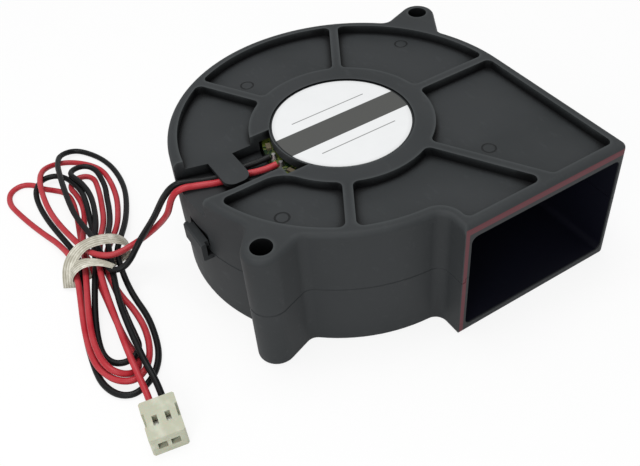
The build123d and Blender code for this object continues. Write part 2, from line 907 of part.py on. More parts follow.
def coil(angle):
    """Winding round one pole: a rounded loop of wire built up over the insulator."""
    inner_width = leg_width + 2 * insulator_wall + 2 * coil_gap
    inner_height = core_height + 2 * insulator_thickness + 2 * coil_gap
    turn = Rotation(0, 0, angle)
    side = Plane(turn * Location((coil_inner_radius, 0, core_middle_z)) * Plane.YZ.location)
    with BuildPart() as winding:
        with BuildSketch(side):
            RectangleRounded(inner_width + 2 * coil_build, inner_height + 2 * coil_build, coil_build)
            Rectangle(inner_width, inner_height, mode=Mode.SUBTRACT)
        extrude(amount=coil_length + coil_inner_radius, both=True)
        with BuildSketch(Plane.XY.offset(core_bottom_z - core_height)):
            Circle(coil_inner_radius + coil_length)
            Circle(coil_inner_radius, mode=Mode.SUBTRACT)
            with Locations(Location((0, 0, 0), (0, 0, angle))):
                Rectangle(
                    2 * coil_end_radius,
                    2 * coil_end_radius,
                    align=(Align.MIN, Align.CENTER),
                    mode=Mode.INTERSECT,
                )
        extrude(amount=3 * core_height, mode=Mode.INTERSECT)
    return winding


def circuit_board():
    """Round board over the stator, with holes for the winding pins and the two leads."""
    with BuildPart() as board:
        with BuildSketch(Plane.XY.offset(board_bottom_z)):
            Circle(board_radius)
            Circle(board_eye_radius, mode=Mode.SUBTRACT)
            with PolarLocations(post_pitch_radius, pole_count, start_angle=180 / pole_count):
                Circle(pin_hole_radius, mode=Mode.SUBTRACT)
        extrude(amount=board_thickness)
    return board


def winding_pins():
    """Four square pins that carry the winding's ends from the insulator through the board."""
    with BuildPart() as pins:
        with BuildSketch(Plane.XY.offset(pin_bottom_z + press_gap)):
            with PolarLocations(post_pitch_radius, pole_count, start_angle=180 / pole_count):
                Rectangle(pin_side, pin_side)
        extrude(amount=board_top_z + pin_rise - pin_bottom_z - press_gap)
    return pins


def solder_joints():
    """Solder on the board at each lead's bared end."""
    with BuildPart() as joints:
        for x in (-lead_joint_x, lead_joint_x):
            with Locations((x, lead_joint_y, board_top_z)):
                Cone(
                    lead_solder_radius,
                    lead_solder_top,
                    lead_solder_height,
                    align=(Align.CENTER, Align.CENTER, Align.MIN),
                )
    return joints


def driver_chip():
    """Motor driver under the board, with its legs on the two long sides."""
    width, length, thickness = driver_chip_size
    leg_reach, leg_side, leg_thickness = driver_leg_size
    with BuildPart() as chip:
        with Locations((-(board_eye_radius + board_radius) / 2, 0, board_bottom_z)):
            Box(width, length, thickness, align=(Align.CENTER, Align.CENTER, Align.MAX))
            with GridLocations(width + leg_reach, driver_leg_pitch, 2, driver_leg_count):
                Box(
                    leg_reach,
                    leg_side,
                    leg_thickness,
                    align=(Align.CENTER, Align.CENTER, Align.MAX),
                )
    return chip


def hall_sensor():
    """Position sensor that hangs from the board over the magnet's edge."""
    depth, width, drop = hall_body_size
    with BuildPart() as sensor:
        with Locations(Location((0, 0, board_bottom_z), (0, 0, hall_angle))):
            with Locations((hall_radius, 0, 0)):
                Box(depth, width, drop, align=(Align.CENTER, Align.CENTER, Align.MAX))
        chamfer(sensor.faces().sort_by(Axis.Z)[0].edges(), hall_chamfer)
    return sensor


def chip_parts():
    """Small capacitors and resistors: two at the opening on the board and three under it."""
    width, length, thickness = chip_part_size
    with BuildPart() as parts:
        with Locations((0, 0, board_top_z)):
            with PolarLocations(
                opening_part_radius, 2, opening_part_angle, 2 * opening_part_step
            ):
                Box(width, length, thickness, align=(Align.CENTER, Align.CENTER, Align.MIN))
        with Locations((0, 0, board_bottom_z)):
            with PolarLocations(hall_radius, 3, lower_part_angle, 3 * lower_part_step):
                Box(width, length, thickness, align=(Align.CENTER, Align.CENTER, Align.MAX))
    return parts


def bend_radii(route):
    """Radius at each corner of a route: 0.45 of the shorter run over the tangent of half the turn."""
    points = [Vector(*p) for p in route]
    runs = [b - a for a, b in zip(points, points[1:])]
    radii = []
    for before, after in zip(runs, runs[1:]):
        half_turn = radians(before.get_angle(after)) / 2
        radii.append(0.45 * min(before.length, after.length) / tan(half_turn))
    return radii


def lead_tube(route, name):
    """Lead along a route of straight runs joined by arcs."""
    radii = bend_radii(route)
    print(name, "bend radii", [round(r, 1) for r in radii])
    with BuildPart() as tube:
        with BuildLine() as path:
            FilletPolyline(*route, radius=radii)
        with BuildSketch(Plane(path.line @ 0, z_dir=path.line % 0)):
            Circle(lead_radius)
        sweep()
    drawn = pi * lead_radius**2 * sum(edge.length for edge in path.edges())
    print(name, "volume over section times length", round(tube.part.volume / drawn, 4))
    return tube


def waist_plane(z):
    """Plane through the hank's waist: X runs along the bundle, Y across it."""
    return Plane((*hank_waist, z), x_dir=Vector(1, 0).rotate(Axis.Z, hank_angle))


def lead_hank():
    """Outer shape of the hank of both leads, with the waist that the tie holds."""
    with BuildPart() as hank:
        with BuildSketch():
            with BuildLine():
                Spline(*hank_outline, periodic=True)
            make_face()
        extrude(amount=hank_height)
        with BuildSketch(waist_plane(0)):
            Rectangle(tie_width + 2 * tie_gap, 6 * waist_half_width)
        extrude(amount=waist_lift, mode=Mode.SUBTRACT)
        with BuildSketch(waist_plane(0)):
            Rectangle(tie_width + 2 * tie_gap, 6 * waist_half_width)
            Rectangle(tie_width + 2 * tie_gap, 2 * waist_half_width, mode=Mode.SUBTRACT)
        extrude(amount=hank_height, mode=Mode.SUBTRACT)
    return hank


def cable_tie():
    """Twist tie wound round the hank's waist, with its two ends standing out at the sides."""
    width = 2 * (waist_half_width + tie_gap)
    bottom = waist_lift - tie_gap
    top = hank_height + tie_gap
    flat = waist_plane(0)
    start = Plane(
        flat.from_local_coords((-tie_width / 2, 0, (bottom + top) / 2)),
        x_dir=flat.y_dir,
        z_dir=flat.x_dir,
    )
    with BuildPart() as tie:
        with BuildSketch(start):
            RectangleRounded(
                width + 2 * tie_thickness, top - bottom + 2 * tie_thickness, 2 * tie_thickness
            )
            RectangleRounded(width, top - bottom, tie_thickness, mode=Mode.SUBTRACT)
        extrude(amount=tie_width)
        for side in (-1, 1):
            outward = Align.MIN if side > 0 else Align.MAX
            foot = (side * tie_width / 4, side * (width + tie_thickness) / 2, 0)
            with Locations(waist_plane(top - tie_thickness).location * Location(foot)):
                Box(
                    tie_width / 2,
                    tie_end_length,
                    tie_thickness,
                    align=(Align.CENTER, outward, Align.MAX),
                )
    return tie


def connector_plane(forward=0.0):
    """Plane across the connector at a distance from its back: X across its ways, Z forward."""
    along = Vector(1, 0).rotate(Axis.Z, connector_angle)
    across = Vector(0, 1).rotate(Axis.Z, connector_angle)
    origin = Vector(*connector_place, connector_axis_z) + along * forward
    return Plane(origin, x_dir=across, z_dir=along)


def tail_route(way):
    """Route of a lead from the hank's end into its way of the connector: way is -1 or +1."""
    across = way * connector_pitch / 2
    points = [(along, way * out, rise) for along, out, rise in tail_run]
    points += [(-tail_straight, across, 0), (tail_entry, across, 0)]
    return [tuple(connector_plane(x).from_local_coords((y, z, 0))) for x, y, z in points]


def connector_housing():
    """Two-way crimp housing: a cavity and a lance window for each way, and a waist on each side."""
    ways = GridLocations(connector_pitch, 0, 2, 1).locations
    top = connector_height - connector_axis_z
    with BuildPart() as housing:
        with BuildSketch(connector_plane()):
            Rectangle(connector_width, connector_height)
        extrude(amount=connector_length)
        chamfer(housing.edges().filter_by(Axis.Z), connector_chamfer)
        with BuildSketch(connector_plane(waist_start)):
            for side in (-1, 1):
                with Locations((side * connector_width / 2, top)):
                    Rectangle(2 * waist_inset, 2 * waist_depth)
        extrude(amount=waist_length, mode=Mode.SUBTRACT)
        with BuildSketch(connector_plane()):
            with Locations(*ways):
                Rectangle(cavity_side, cavity_side)
        extrude(amount=connector_length, mode=Mode.SUBTRACT)
        with BuildSketch(connector_plane(window_start)):
            with Locations((0, top)):
                with Locations(*ways):
                    Rectangle(window_width, 2 * top - cavity_side)
        extrude(amount=window_length, mode=Mode.SUBTRACT)
    return housing


def connector_contacts():
    """Two crimped box contacts in the connector's cavities."""
    ways = GridLocations(connector_pitch, 0, 2, 1).locations
    inside = contact_side - 2 * contact_sheet
    with BuildPart() as contacts:
        with BuildSketch(connector_plane(tail_entry)):
            with Locations(*ways):
                Rectangle(contact_side, contact_side)
        extrude(amount=connector_length - tail_entry - contact_inset)
        with BuildSketch(connector_plane(connector_length / 2)):
            with Locations(*ways):
                Rectangle(inside, inside)
        extrude(amount=connector_length / 2, mode=Mode.SUBTRACT)
    return contacts


def motor_pieces():
    """Fixed pieces of the motor, by node name."""
    outer_groove = ball_radius + outer_ball_gap
    pieces = {
        "bearing_tube": bearing_tube(),
        "upper_bearing_outer_ring": bearing_ring(
            outer_race_radius, bearing_radius, upper_bearing_z, outer_groove
        ),
        "lower_bearing_outer_ring": bearing_ring(
            outer_race_radius, bearing_radius, lower_bearing_z, outer_groove
        ),
        "bearing_shields": bearing_shields(),
        "stator_core": stator_core(),
        "upper_insulator": insulator(1),
        "lower_insulator": insulator(-1),
        "circuit_board": circuit_board(),
        "winding_pins": winding_pins(),
        "solder_joints": solder_joints(),
        "driver_chip": driver_chip(),
        "hall_sensor": hall_sensor(),
        "chip_parts": chip_parts(),
    }
    for index in range(pole_count):
        pieces[f"coil_{index + 1}"] = coil(index * 360 / pole_count)
    return pieces


def rotor_pieces():
    """Pieces that turn with the shaft, and the balls between the bearing rings."""
    bore = shaft_radius + press_gap
    inner_groove = ball_radius + ball_gap
    washer_z = upper_bearing_z + bearing_width + clip_play
    return {
        "impeller": impeller(),
        "rotor_yoke": rotor_yoke(),
        "rotor_magnet": rotor_magnet(),
        "shaft_bush": shaft_bush(),
        "shaft": shaft(),
        "upper_bearing_inner_ring": bearing_ring(
            bore, inner_race_radius, upper_bearing_z, inner_groove
        ),
        "lower_bearing_inner_ring": bearing_ring(
            bore, inner_race_radius, lower_bearing_z, inner_groove
        ),
        "preload_spring": preload_spring(),
        "clip_washer": ring(bore, washer_radius, washer_z, washer_z + washer_thickness),
        "retaining_clip": retaining_clip(),
        "upper_bearing_balls": ball_set(upper_bearing_z),
        "lower_bearing_balls": ball_set(lower_bearing_z),
    }


def lead_pieces():
    """The two leads from the board to the connector, and what is on them."""
    return {
        "black_lead_inner": lead_tube(black_inner_route, "black lead in the channel"),
        "red_lead_inner": lead_tube(red_inner_route, "red lead in the channel"),
        "black_lead": lead_tube(black_route, "black lead to the hank"),
        "red_lead": lead_tube(red_route, "red lead to the hank"),
        "lead_hank": lead_hank(),
        "black_lead_tail": lead_tube(tail_route(1), "black tail"),
        "red_lead_tail": lead_tube(tail_route(-1), "red tail"),
        "cable_tie": cable_tie(),
        "connector_housing": connector_housing(),
        "connector_contacts": connector_contacts(),
    }


def main():
    """Build every piece and write its STEP file."""
    os.makedirs("parts", exist_ok=True)
    pieces = {
        "motor_housing": motor_housing(),
        "inlet_cover": inlet_cover(),
        "hub_label": hub_label(),
    }
    pieces.update(motor_pieces())
    pieces.update(rotor_pieces())
    pieces.update(lead_pieces())
    for name, piece in pieces.items():
        write(piece, name)


main()
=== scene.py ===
"""A DC blower fan with its lead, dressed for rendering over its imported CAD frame.

Lengths in the classes are in millimetres and are turned into metres where Blender takes them.
"""

import logging
import math
from dataclasses import dataclass, field
from enum import Enum

import bmesh
import bpy
from mathutils import Matrix, Quaternion, Vector


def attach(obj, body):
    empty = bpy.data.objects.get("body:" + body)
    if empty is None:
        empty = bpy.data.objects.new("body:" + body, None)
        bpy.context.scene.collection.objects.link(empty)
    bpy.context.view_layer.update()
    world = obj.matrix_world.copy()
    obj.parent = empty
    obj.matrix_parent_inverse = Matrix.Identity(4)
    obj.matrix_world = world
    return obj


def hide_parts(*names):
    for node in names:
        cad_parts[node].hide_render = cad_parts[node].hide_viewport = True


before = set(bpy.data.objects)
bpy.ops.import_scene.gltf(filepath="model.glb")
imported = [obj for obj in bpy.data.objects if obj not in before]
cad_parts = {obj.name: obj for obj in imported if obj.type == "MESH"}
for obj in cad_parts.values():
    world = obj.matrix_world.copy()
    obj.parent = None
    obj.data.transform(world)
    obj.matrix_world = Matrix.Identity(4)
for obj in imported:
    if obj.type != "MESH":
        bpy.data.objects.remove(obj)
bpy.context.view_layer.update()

log = logging.getLogger("blower")

MM = 0.001
PER_METRE = 1000
Point = tuple[float, float, float]
Colour = tuple[float, float, float]


def metres(point: Point) -> Vector:
    """Returns a point in millimetres as a vector in metres."""
    return Vector(point) * MM


# ---------------------------------------------------------------- shader maths


class Value:
    """A socket that Python's operators turn into Math nodes."""

    def __init__(self, sheet: "Sheet", socket: bpy.types.NodeSocket) -> None:
        """Wraps one output socket of a sheet."""
        self.sheet, self.socket = sheet, socket

    def _math(self, operation: str, *terms: "Value | float") -> "Value":
        """Adds one Math node.

        Args:
            operation: the Math node's operation.
            *terms: its inputs, in order.

        Returns:
            The node's answer.
        """
        node = self.sheet.node(
            "ShaderNodeMath", {"operation": operation}, dict(enumerate(terms))
        )
        return Value(self.sheet, node.outputs[0])

    def __add__(self, other: "Value | float") -> "Value":
        """Returns self + other."""
        return self._math("ADD", self, other)

    def __radd__(self, other: float) -> "Value":
        """Returns other + self."""
        return self._math("ADD", other, self)

    def __sub__(self, other: "Value | float") -> "Value":
        """Returns self - other."""
        return self._math("SUBTRACT", self, other)

    def __rsub__(self, other: float) -> "Value":
        """Returns other - self."""
        return self._math("SUBTRACT", other, self)

    def __mul__(self, other: "Value | float") -> "Value":
        """Returns self * other."""
        return self._math("MULTIPLY", self, other)

    def __rmul__(self, other: float) -> "Value":
        """Returns other * self."""
        return self._math("MULTIPLY", other, self)

    def __abs__(self) -> "Value":
        """Returns the size of self."""
        return self._math("ABSOLUTE", self)

    def root(self) -> "Value":
        """Returns the square root."""
        return self._math("SQRT", self)

    def sine(self) -> "Value":
        """Returns the sine."""
        return self._math("SINE", self)

    def above(self, edge: float, soft: float) -> "Value":
        """Returns 1 well above an edge and 0 well below it.

        Args:
            edge: the value halfway up the step.
            soft: how wide the step is.

        Returns:
            The clamped step.
        """
        step = self.sheet.node(
            "ShaderNodeMapRange",
            {"clamp": True},
            {0: self, 1: edge - soft / 2, 2: edge + soft / 2, 3: 0.0, 4: 1.0},
        )
        return Value(self.sheet, step.outputs[0])

    def between(self, low: float, high: float, soft: float) -> "Value":
        """Returns 1 from low to high and 0 outside.

        Args:
            low: the lower edge.
            high: the upper edge.
            soft: how wide each edge is.

        Returns:
            The band's mask.
        """
        return self.above(low, soft) * (1 - self.above(high, soft))


class Sheet:
    """The node tree of one finish, around one Principled shader."""

    def __init__(self, name: str) -> None:
        """Starts a finish with an output and a Principled shader."""
        self.material = bpy.data.materials.new(name)
        self.material.use_nodes = True
        self.tree = self.material.node_tree
        self.tree.nodes.clear()
        self.shader = self.node("ShaderNodeBsdfPrincipled")
        out = self.node("ShaderNodeOutputMaterial")
        self.tree.links.new(self.shader.outputs[0], out.inputs["Surface"])
        self.place = self.node("ShaderNodeTexCoord").outputs["Object"]

    def node(
        self,
        kind: str,
        settings: dict[str, object] | None = None,
        inputs: dict[str | int, object] | None = None,
    ) -> bpy.types.Node:
        """Adds a node.

        Args:
            kind: the node's type.
            settings: its own properties, set first.
            inputs: a number, colour, Value or socket for each input by name or place.

        Returns:
            The new node.
        """
        made = self.tree.nodes.new(kind)
        for key, setting in (settings or {}).items():
            setattr(made, key, setting)
        for key, term in (inputs or {}).items():
            socket = made.inputs[key]
            if isinstance(term, Value):
                term = term.socket
            if isinstance(term, bpy.types.NodeSocket):
                self.tree.links.new(term, socket)
            else:
                socket.default_value = term
        return made

    def openness(self, reach: float, inward: bool) -> Value:
        """Measures how open the piece's own surface is around a point.

        Args:
            reach: how far it looks, in metres.
            inward: looks into the piece, which finds its outer edges, and not out of it.

        Returns:
            1 on an open flat, and less in a corner.
        """
        look = {"only_local": True, "samples": 8, "inside": inward}
        found = self.node("ShaderNodeAmbientOcclusion", look, {"Distance": reach})
        return Value(self, found.outputs["AO"])

    def axes(self) -> tuple[Value, Value, Value]:
        """Returns the object's x, y and z in millimetres."""
        split = self.node("ShaderNodeSeparateXYZ", None, {0: self.place})
        x, y, z = (Value(self, s) for s in split.outputs)
        return x * PER_METRE, y * PER_METRE, z * PER_METRE

    def noise(
        self, size: float, detail: float = 2.0, stretch: Point = (1.0, 1.0, 1.0)
    ) -> Value:
        """Adds a noise pattern on the object's own place.

        Args:
            size: the pattern's grain in millimetres.
            detail: how many finer layers it has.
            stretch: how much longer its grain is along x, y and z.

        Returns:
            The pattern, about 0.5 on average.
        """
        scale = tuple(1 / s for s in stretch)
        stretched = self.node(
            "ShaderNodeMapping", None, {"Vector": self.place, "Scale": scale}
        )
        made = self.node(
            "ShaderNodeTexNoise",
            None,
            {"Vector": stretched.outputs[0], "Scale": 1 / (size * MM), "Detail": detail},
        )
        return Value(self, made.outputs[0])

    def mix(
        self, mask: Value, first: "Colour | Value", second: "Colour | Value"
    ) -> Value:
        """Mixes two colours.

        Args:
            mask: 0 gives the first colour and 1 the second.
            first: the first colour.
            second: the second colour.

        Returns:
            The mixed colour.
        """
        terms = [(*c, 1.0) if isinstance(c, tuple) else c for c in (first, second)]
        made = self.node(
            "ShaderNodeMix", {"data_type": "RGBA"}, {0: mask, 6: terms[0], 7: terms[1]}
        )
        return Value(self, made.outputs[2])

    def relief(self, height: Value, depth: float, strength: float = 1.0) -> None:
        """Raises the surface by a height of 0 to 1.

        Args:
            height: the relief's height.
            depth: how deep the relief is in millimetres.
            strength: how strongly it shows.
        """
        earlier = self.shader.inputs["Normal"].links
        bump = self.node(
            "ShaderNodeBump",
            None,
            {"Height": height, "Distance": depth * MM, "Strength": strength},
        )
        if earlier:
            self.tree.links.new(earlier[0].from_socket, bump.inputs["Normal"])
        self.tree.links.new(bump.outputs[0], self.shader.inputs["Normal"])

    def paint(self, colour: Value, roughness: Value) -> None:
        """Feeds the shader's colour and roughness."""
        self.tree.links.new(colour.socket, self.shader.inputs["Base Color"])
        self.tree.links.new(roughness.socket, self.shader.inputs["Roughness"])

    def constants(self, **sockets: float) -> None:
        """Sets sockets that are the same all over the surface."""
        for name, number in sockets.items():
            self.shader.inputs[name.replace("_", " ")].default_value = number


# -------------------------------------------------------------------- finishes


@dataclass(frozen=True)
class MouldedPlastic:
    """Moulded thermoplastic with a fine eroded grain and soft flow marks."""

    name: str
    dark: Colour
    light: Colour
    gloss: float = 0.46
    grain: float = 0.22
    grain_depth: float = 0.012
    shine: float = 0.5
    flow_size: float = 17.0
    scuff_size: float = 1.6
    scuff_lift: float = 1.4
    scuff_share: float = 0.25

    def start(self) -> Sheet:
        """Returns the sheet with the plain moulded surface on it."""
        sheet = Sheet(self.name)
        flow = sheet.noise(self.flow_size, 3.0, (1.0, 1.0, 1.6))
        specks = sheet.noise(self.grain, 2.0)
        scuffs = sheet.noise(self.scuff_size, 4.0, (2.0, 1.0, 1.0)).above(0.66, 0.12)
        tone = sheet.mix(flow.between(0.42, 0.95, 0.3), self.dark, self.light)
        worn = tuple(c * self.scuff_lift for c in self.light)
        tone = sheet.mix(scuffs * self.scuff_share, tone, worn)
        sheet.paint(tone, self.gloss + flow * 0.16 - scuffs * 0.05 + specks * 0.06)
        sheet.relief(specks, self.grain_depth, 0.5)
        sheet.constants(IOR=1.5, Specular_IOR_Level=self.shine)
        return sheet

    def make(self) -> bpy.types.Material:
        """Returns the finished material."""
        return self.start().material


@dataclass(frozen=True)
class HousingPlastic(MouldedPlastic):
    """The shells' plastic: pin rings, painted shade in them, in recesses and in the duct,
    painted edge highlights and a line on the outlet.
    """

    pins: tuple[tuple[float, float], ...] = (
        (-26.2, -8.7),
        (-18.7, 28.9),
        (23.5, 20.1),
        (16.3, -24.2),
    )
    pin_radius: float = 1.4
    pin_groove: float = 0.17
    pin_depth: float = 0.1
    pin_share: float = 0.8
    # painted shade: how dark the ejector pins' grooves are painted
    pin_painted_shade: float = 0.2
    pocket_floor: float = 28.0
    outlet_face: float = 40.3
    line_top: tuple[float, float] = (27.8, 29.2)
    line_side: tuple[float, float] = (0.45, 1.35)
    line_colour: Colour = (0.125, 0.034, 0.042)
    line_share: float = 0.9
    duct_side: tuple[float, float] = (1.8, 39.4)
    duct_height: tuple[float, float] = (1.7, 26.8)
    # painted shade: near-black colour for the inside of the outlet duct
    duct_painted_shade: Colour = (0.0028, 0.0032, 0.0085)
    # painted shade: a near-black colour for the corners and recesses closed in around a point
    recess_shade_reach: float = 0.005
    painted_recess_shade: Colour = (0.0012, 0.0014, 0.0018)
    recess_shade_share: float = 0.95
    # painted highlight: a paler colour for the convex edges up on the rims
    edge_highlight_reach: float = 0.0009
    painted_edge_highlight: Colour = (0.075, 0.084, 0.086)
    edge_highlight_share: float = 0.42
    rim_foot: float = 28.5

    def pin_rings(self, x: Value, y: Value, z: Value) -> Value:
        """Finds the grooves that the ejector pins leave in the pockets' floors.

        Args:
            x: the object's x in millimetres.
            y: the object's y in millimetres.
            z: the object's z in millimetres.

        Returns:
            The grooves' mask.
        """
        marks = z.between(self.pocket_floor - 0.4, self.pocket_floor + 0.3, 0.1)
        rings = x * 0
        inner, outer = self.pin_radius - self.pin_groove, self.pin_radius + self.pin_groove
        for px, py in self.pins:
            away = ((x - px) * (x - px) + (y - py) * (y - py)).root()
            rings += away.between(inner, outer, 0.14)
        return marks * rings

    def outlet_line(self, x: Value, y: Value, z: Value) -> Value:
        """Finds the painted line on the outlet's rim.

        Args:
            x: the object's x in millimetres.
            y: the object's y in millimetres.
            z: the object's z in millimetres.

        Returns:
            The line's mask.
        """
        end = x.above(self.outlet_face, 0.05)
        top = z.between(*self.line_top, 0.15) * y.above(self.line_side[0], 0.1)
        side = y.between(*self.line_side, 0.15) * (1 - z.above(self.line_top[1], 0.2))
        return (end * (top + side)).above(0.5, 0.4)

    def make(self) -> bpy.types.Material:
        """Returns the finished material."""
        sheet = self.start()
        x, y, z = sheet.axes()
        marks = self.pin_rings(x, y, z)
        sheet.relief(1 - marks, self.pin_depth, 1.0)
        shader = sheet.shader.inputs
        plain = Value(sheet, shader["Base Color"].links[0].from_socket)
        # painted shade: the ejector pins' grooves take a darker copy of the plastic, as shade
        # in them
        shaded = tuple(c * self.pin_painted_shade for c in self.dark)
        toned = sheet.mix(marks * self.pin_share, plain, shaded)
        # painted highlight: lightens the outer edges above the rim's foot, where light catches
        # them
        edges = 1 - sheet.openness(self.edge_highlight_reach, True).above(0.7, 0.5)
        edges *= z.above(self.rim_foot, 0.6)
        toned = sheet.mix(edges * self.edge_highlight_share, toned, self.painted_edge_highlight)
        # painted shade: darkens the corners and recesses that the surface finds closed in
        # around it
        recess_shade = 1 - sheet.openness(self.recess_shade_reach, False).above(0.68, 0.16)
        toned = sheet.mix(recess_shade * self.recess_shade_share, toned, self.painted_recess_shade)
        # painted shade: the inside of the outlet duct is painted near-black, where little
        # light reaches
        inside = y.between(*self.duct_side, 0.1) * z.between(*self.duct_height, 0.1)
        inside *= 1 - x.above(self.outlet_face - 0.1, 0.1)
        toned = sheet.mix(inside, toned, self.duct_painted_shade)
        line = self.outlet_line(x, y, z)
        toned = sheet.mix(line * self.line_share, toned, self.line_colour)
        sheet.tree.links.new(toned.socket, shader["Base Color"])
        return sheet.material


@dataclass(frozen=True)
class PrintedFilm:
    """A matt white film label with a plain dark band and two thin rules."""

    name: str
    white: Colour = (0.74, 0.75, 0.755)
    ink: Colour = (0.036, 0.037, 0.035)
    band: tuple[float, float] = (-2.5, 3.7)
    rules: tuple[float, ...] = (-5.4, 6.6)
    rule_width: float = 0.28
    rule_reach: float = 9.0
    rule_share: float = 0.7
    rim_radius: float = 14.2

    def make(self) -> bpy.types.Material:
        """Returns the finished material."""
        sheet = Sheet(self.name)
        x, y, _ = sheet.axes()
        cloud = sheet.noise(6.0, 3.0)
        fibre = sheet.noise(0.12, 2.0)
        print_edge = x + (fibre - 0.5) * 0.06
        ink = print_edge.between(*self.band, 0.08)
        for middle in self.rules:
            half = self.rule_width / 2
            rule = print_edge.between(middle - half, middle + half, 0.06)
            reach = abs(y).between(-1.0, self.rule_reach, 0.1)
            ink = ink + rule * reach * self.rule_share
        # painted shade: the film is darkened towards its rim
        rim = (x * x + y * y).root().above(self.rim_radius, 0.8)
        paper = sheet.mix(cloud, self.white, tuple(c * 0.93 for c in self.white))
        paper = sheet.mix(rim * 0.35, paper, tuple(c * 0.7 for c in self.white))
        worn_ink = tuple(c * 1.5 for c in self.ink)
        printed = sheet.mix(fibre.between(0.35, 0.9, 0.2), self.ink, worn_ink)
        colour = sheet.mix(ink.above(0.5, 0.9), paper, printed)
        sheet.paint(colour, 0.36 + cloud * 0.12 + ink * 0.06)
        sheet.relief(cloud * 0.6 + fibre * 0.1, 0.03, 0.5)
        return sheet.material


class Working(Enum):
    """How a metal piece was worked, as the stretch of its marks along x, y and z."""

    ROLLED = (12.0, 1.0, 1.0)
    TURNED = (1.0, 1.0, 0.08)
    POLISHED = (1.0, 1.0, 1.0)


@dataclass(frozen=True)
class Metal:
    """A bare or plated metal with fine working marks and a little tarnish."""

    name: str
    bright: Colour
    dull: Colour
    working: Working
    roughness: float = 0.28
    marks: float = 0.3

    def make(self) -> bpy.types.Material:
        """Returns the finished material."""
        sheet = Sheet(self.name)
        tarnish = sheet.noise(3.0, 4.0)
        worked = sheet.noise(self.marks, 2.0, self.working.value)
        colour = sheet.mix(tarnish.between(0.45, 1.0, 0.3), self.bright, self.dull)
        sheet.paint(colour, self.roughness + tarnish * 0.14 + worked * 0.08)
        sheet.relief(worked, 0.006, 0.4)
        sheet.constants(Metallic=1.0)
        return sheet.material


@dataclass(frozen=True)
class Laminations:
    """Stacked silicon-steel sheets, seen on their punched edges."""

    name: str
    steel: Colour = (0.30, 0.31, 0.33)
    seam: Colour = (0.07, 0.07, 0.08)
    sheet_thickness: float = 0.5

    def make(self) -> bpy.types.Material:
        """Returns the finished material."""
        sheet = Sheet(self.name)
        _, _, z = sheet.axes()
        turns = 2 * math.pi / self.sheet_thickness
        wave = (z * turns).sine()
        seams = wave.above(0.8, 0.3)
        rust = sheet.noise(1.5, 4.0)
        colour = sheet.mix(rust, self.steel, tuple(c * 0.75 for c in self.steel))
        colour = sheet.mix(seams * 0.8, colour, self.seam)
        sheet.paint(colour, 0.35 + rust * 0.2)
        sheet.relief(1 - seams, 0.03, 0.7)
        sheet.constants(Metallic=0.9)
        return sheet.material


@dataclass(frozen=True)
class WoundWire:
    """Enamelled copper wire, wound in even turns about each tooth."""

    name: str
    copper: Colour = (0.62, 0.24, 0.075)
    # painted shade: the colour in the grooves between the turns
    shade: Colour = (0.20, 0.055, 0.02)
    wire: float = 0.22

    def make(self) -> bpy.types.Material:
        """Returns the finished material."""
        sheet = Sheet(self.name)
        x, y, z = sheet.axes()
        out = (x * x + y * y).root()
        wander = (sheet.noise(2.0, 1.0) - 0.5) * 0.25
        turns = ((out + wander) * (2 * math.pi / self.wire)).sine()
        ridge = turns * 0.5 + 0.5
        cloud = sheet.noise(1.2, 3.0)
        # painted shade: the grooves between turns take the darker shade colour
        colour = sheet.mix(ridge.above(0.45, 0.8), self.shade, self.copper)
        sheet.paint(colour, 0.22 + cloud * 0.12)
        sheet.relief(ridge, 0.05, 0.8)
        sheet.constants(Metallic=0.85, Coat_Weight=0.4, Coat_Roughness=0.15)
        return sheet.material


@dataclass(frozen=True)
class Ferrite:
    """Bonded ferrite: dull charcoal with open grains."""

    name: str
    dark: Colour = (0.035, 0.034, 0.036)
    light: Colour = (0.09, 0.088, 0.09)

    def make(self) -> bpy.types.Material:
        """Returns the finished material."""
        sheet = Sheet(self.name)
        grains = sheet.noise(0.25, 4.0)
        chips = sheet.noise(1.6, 3.0).above(0.62, 0.1)
        colour = sheet.mix(grains.between(0.4, 1.0, 0.3), self.dark, self.light)
        sheet.paint(colour, 0.62 + grains * 0.2 - chips * 0.1)
        sheet.relief(grains, 0.04, 0.7)
        return sheet.material


@dataclass(frozen=True)
class BoardLaminate:
    """A green printed circuit board: tracks under solder mask, pale cut edges."""

    name: str
    mask: Colour = (0.010, 0.026, 0.010)
    track: Colour = (0.085, 0.11, 0.018)
    pitch: float = 1.5

    def make(self) -> bpy.types.Material:
        """Returns the finished material."""
        sheet = Sheet(self.name)
        cells = sheet.node(
            "ShaderNodeTexVoronoi",
            {"distance": "MANHATTAN", "feature": "F2"},
            {
                "Vector": sheet.place,
                "Scale": 1 / (self.pitch * MM),
                "Randomness": 0.75,
            },
        )
        tracks = Value(sheet, cells.outputs["Distance"]).above(0.95, 0.05)
        weave = sheet.noise(0.3, 1.0, (1.0, 4.0, 1.0))
        cloud = sheet.noise(4.0, 2.0)
        ground = sheet.mix(cloud, self.mask, tuple(c * 0.7 for c in self.mask))
        colour = sheet.mix(tracks, ground, self.track)
        sheet.paint(colour, 0.24 + weave * 0.1)
        sheet.relief(tracks * 0.8 + weave * 0.1, 0.035, 0.8)
        return sheet.material


@dataclass(frozen=True)
class Enamel:
    """A small electronic body: moulded epoxy or fired ceramic."""

    name: str
    body: Colour
    speck: Colour
    roughness: float = 0.45

    def make(self) -> bpy.types.Material:
        """Returns the finished material."""
        sheet = Sheet(self.name)
        grain = sheet.noise(0.08, 3.0)
        cloud = sheet.noise(0.9, 2.0)
        colour = sheet.mix(grain.above(0.6, 0.15) * 0.5, self.body, self.speck)
        sheet.paint(colour, self.roughness + cloud * 0.15)
        sheet.relief(grain, 0.006, 0.6)
        return sheet.material


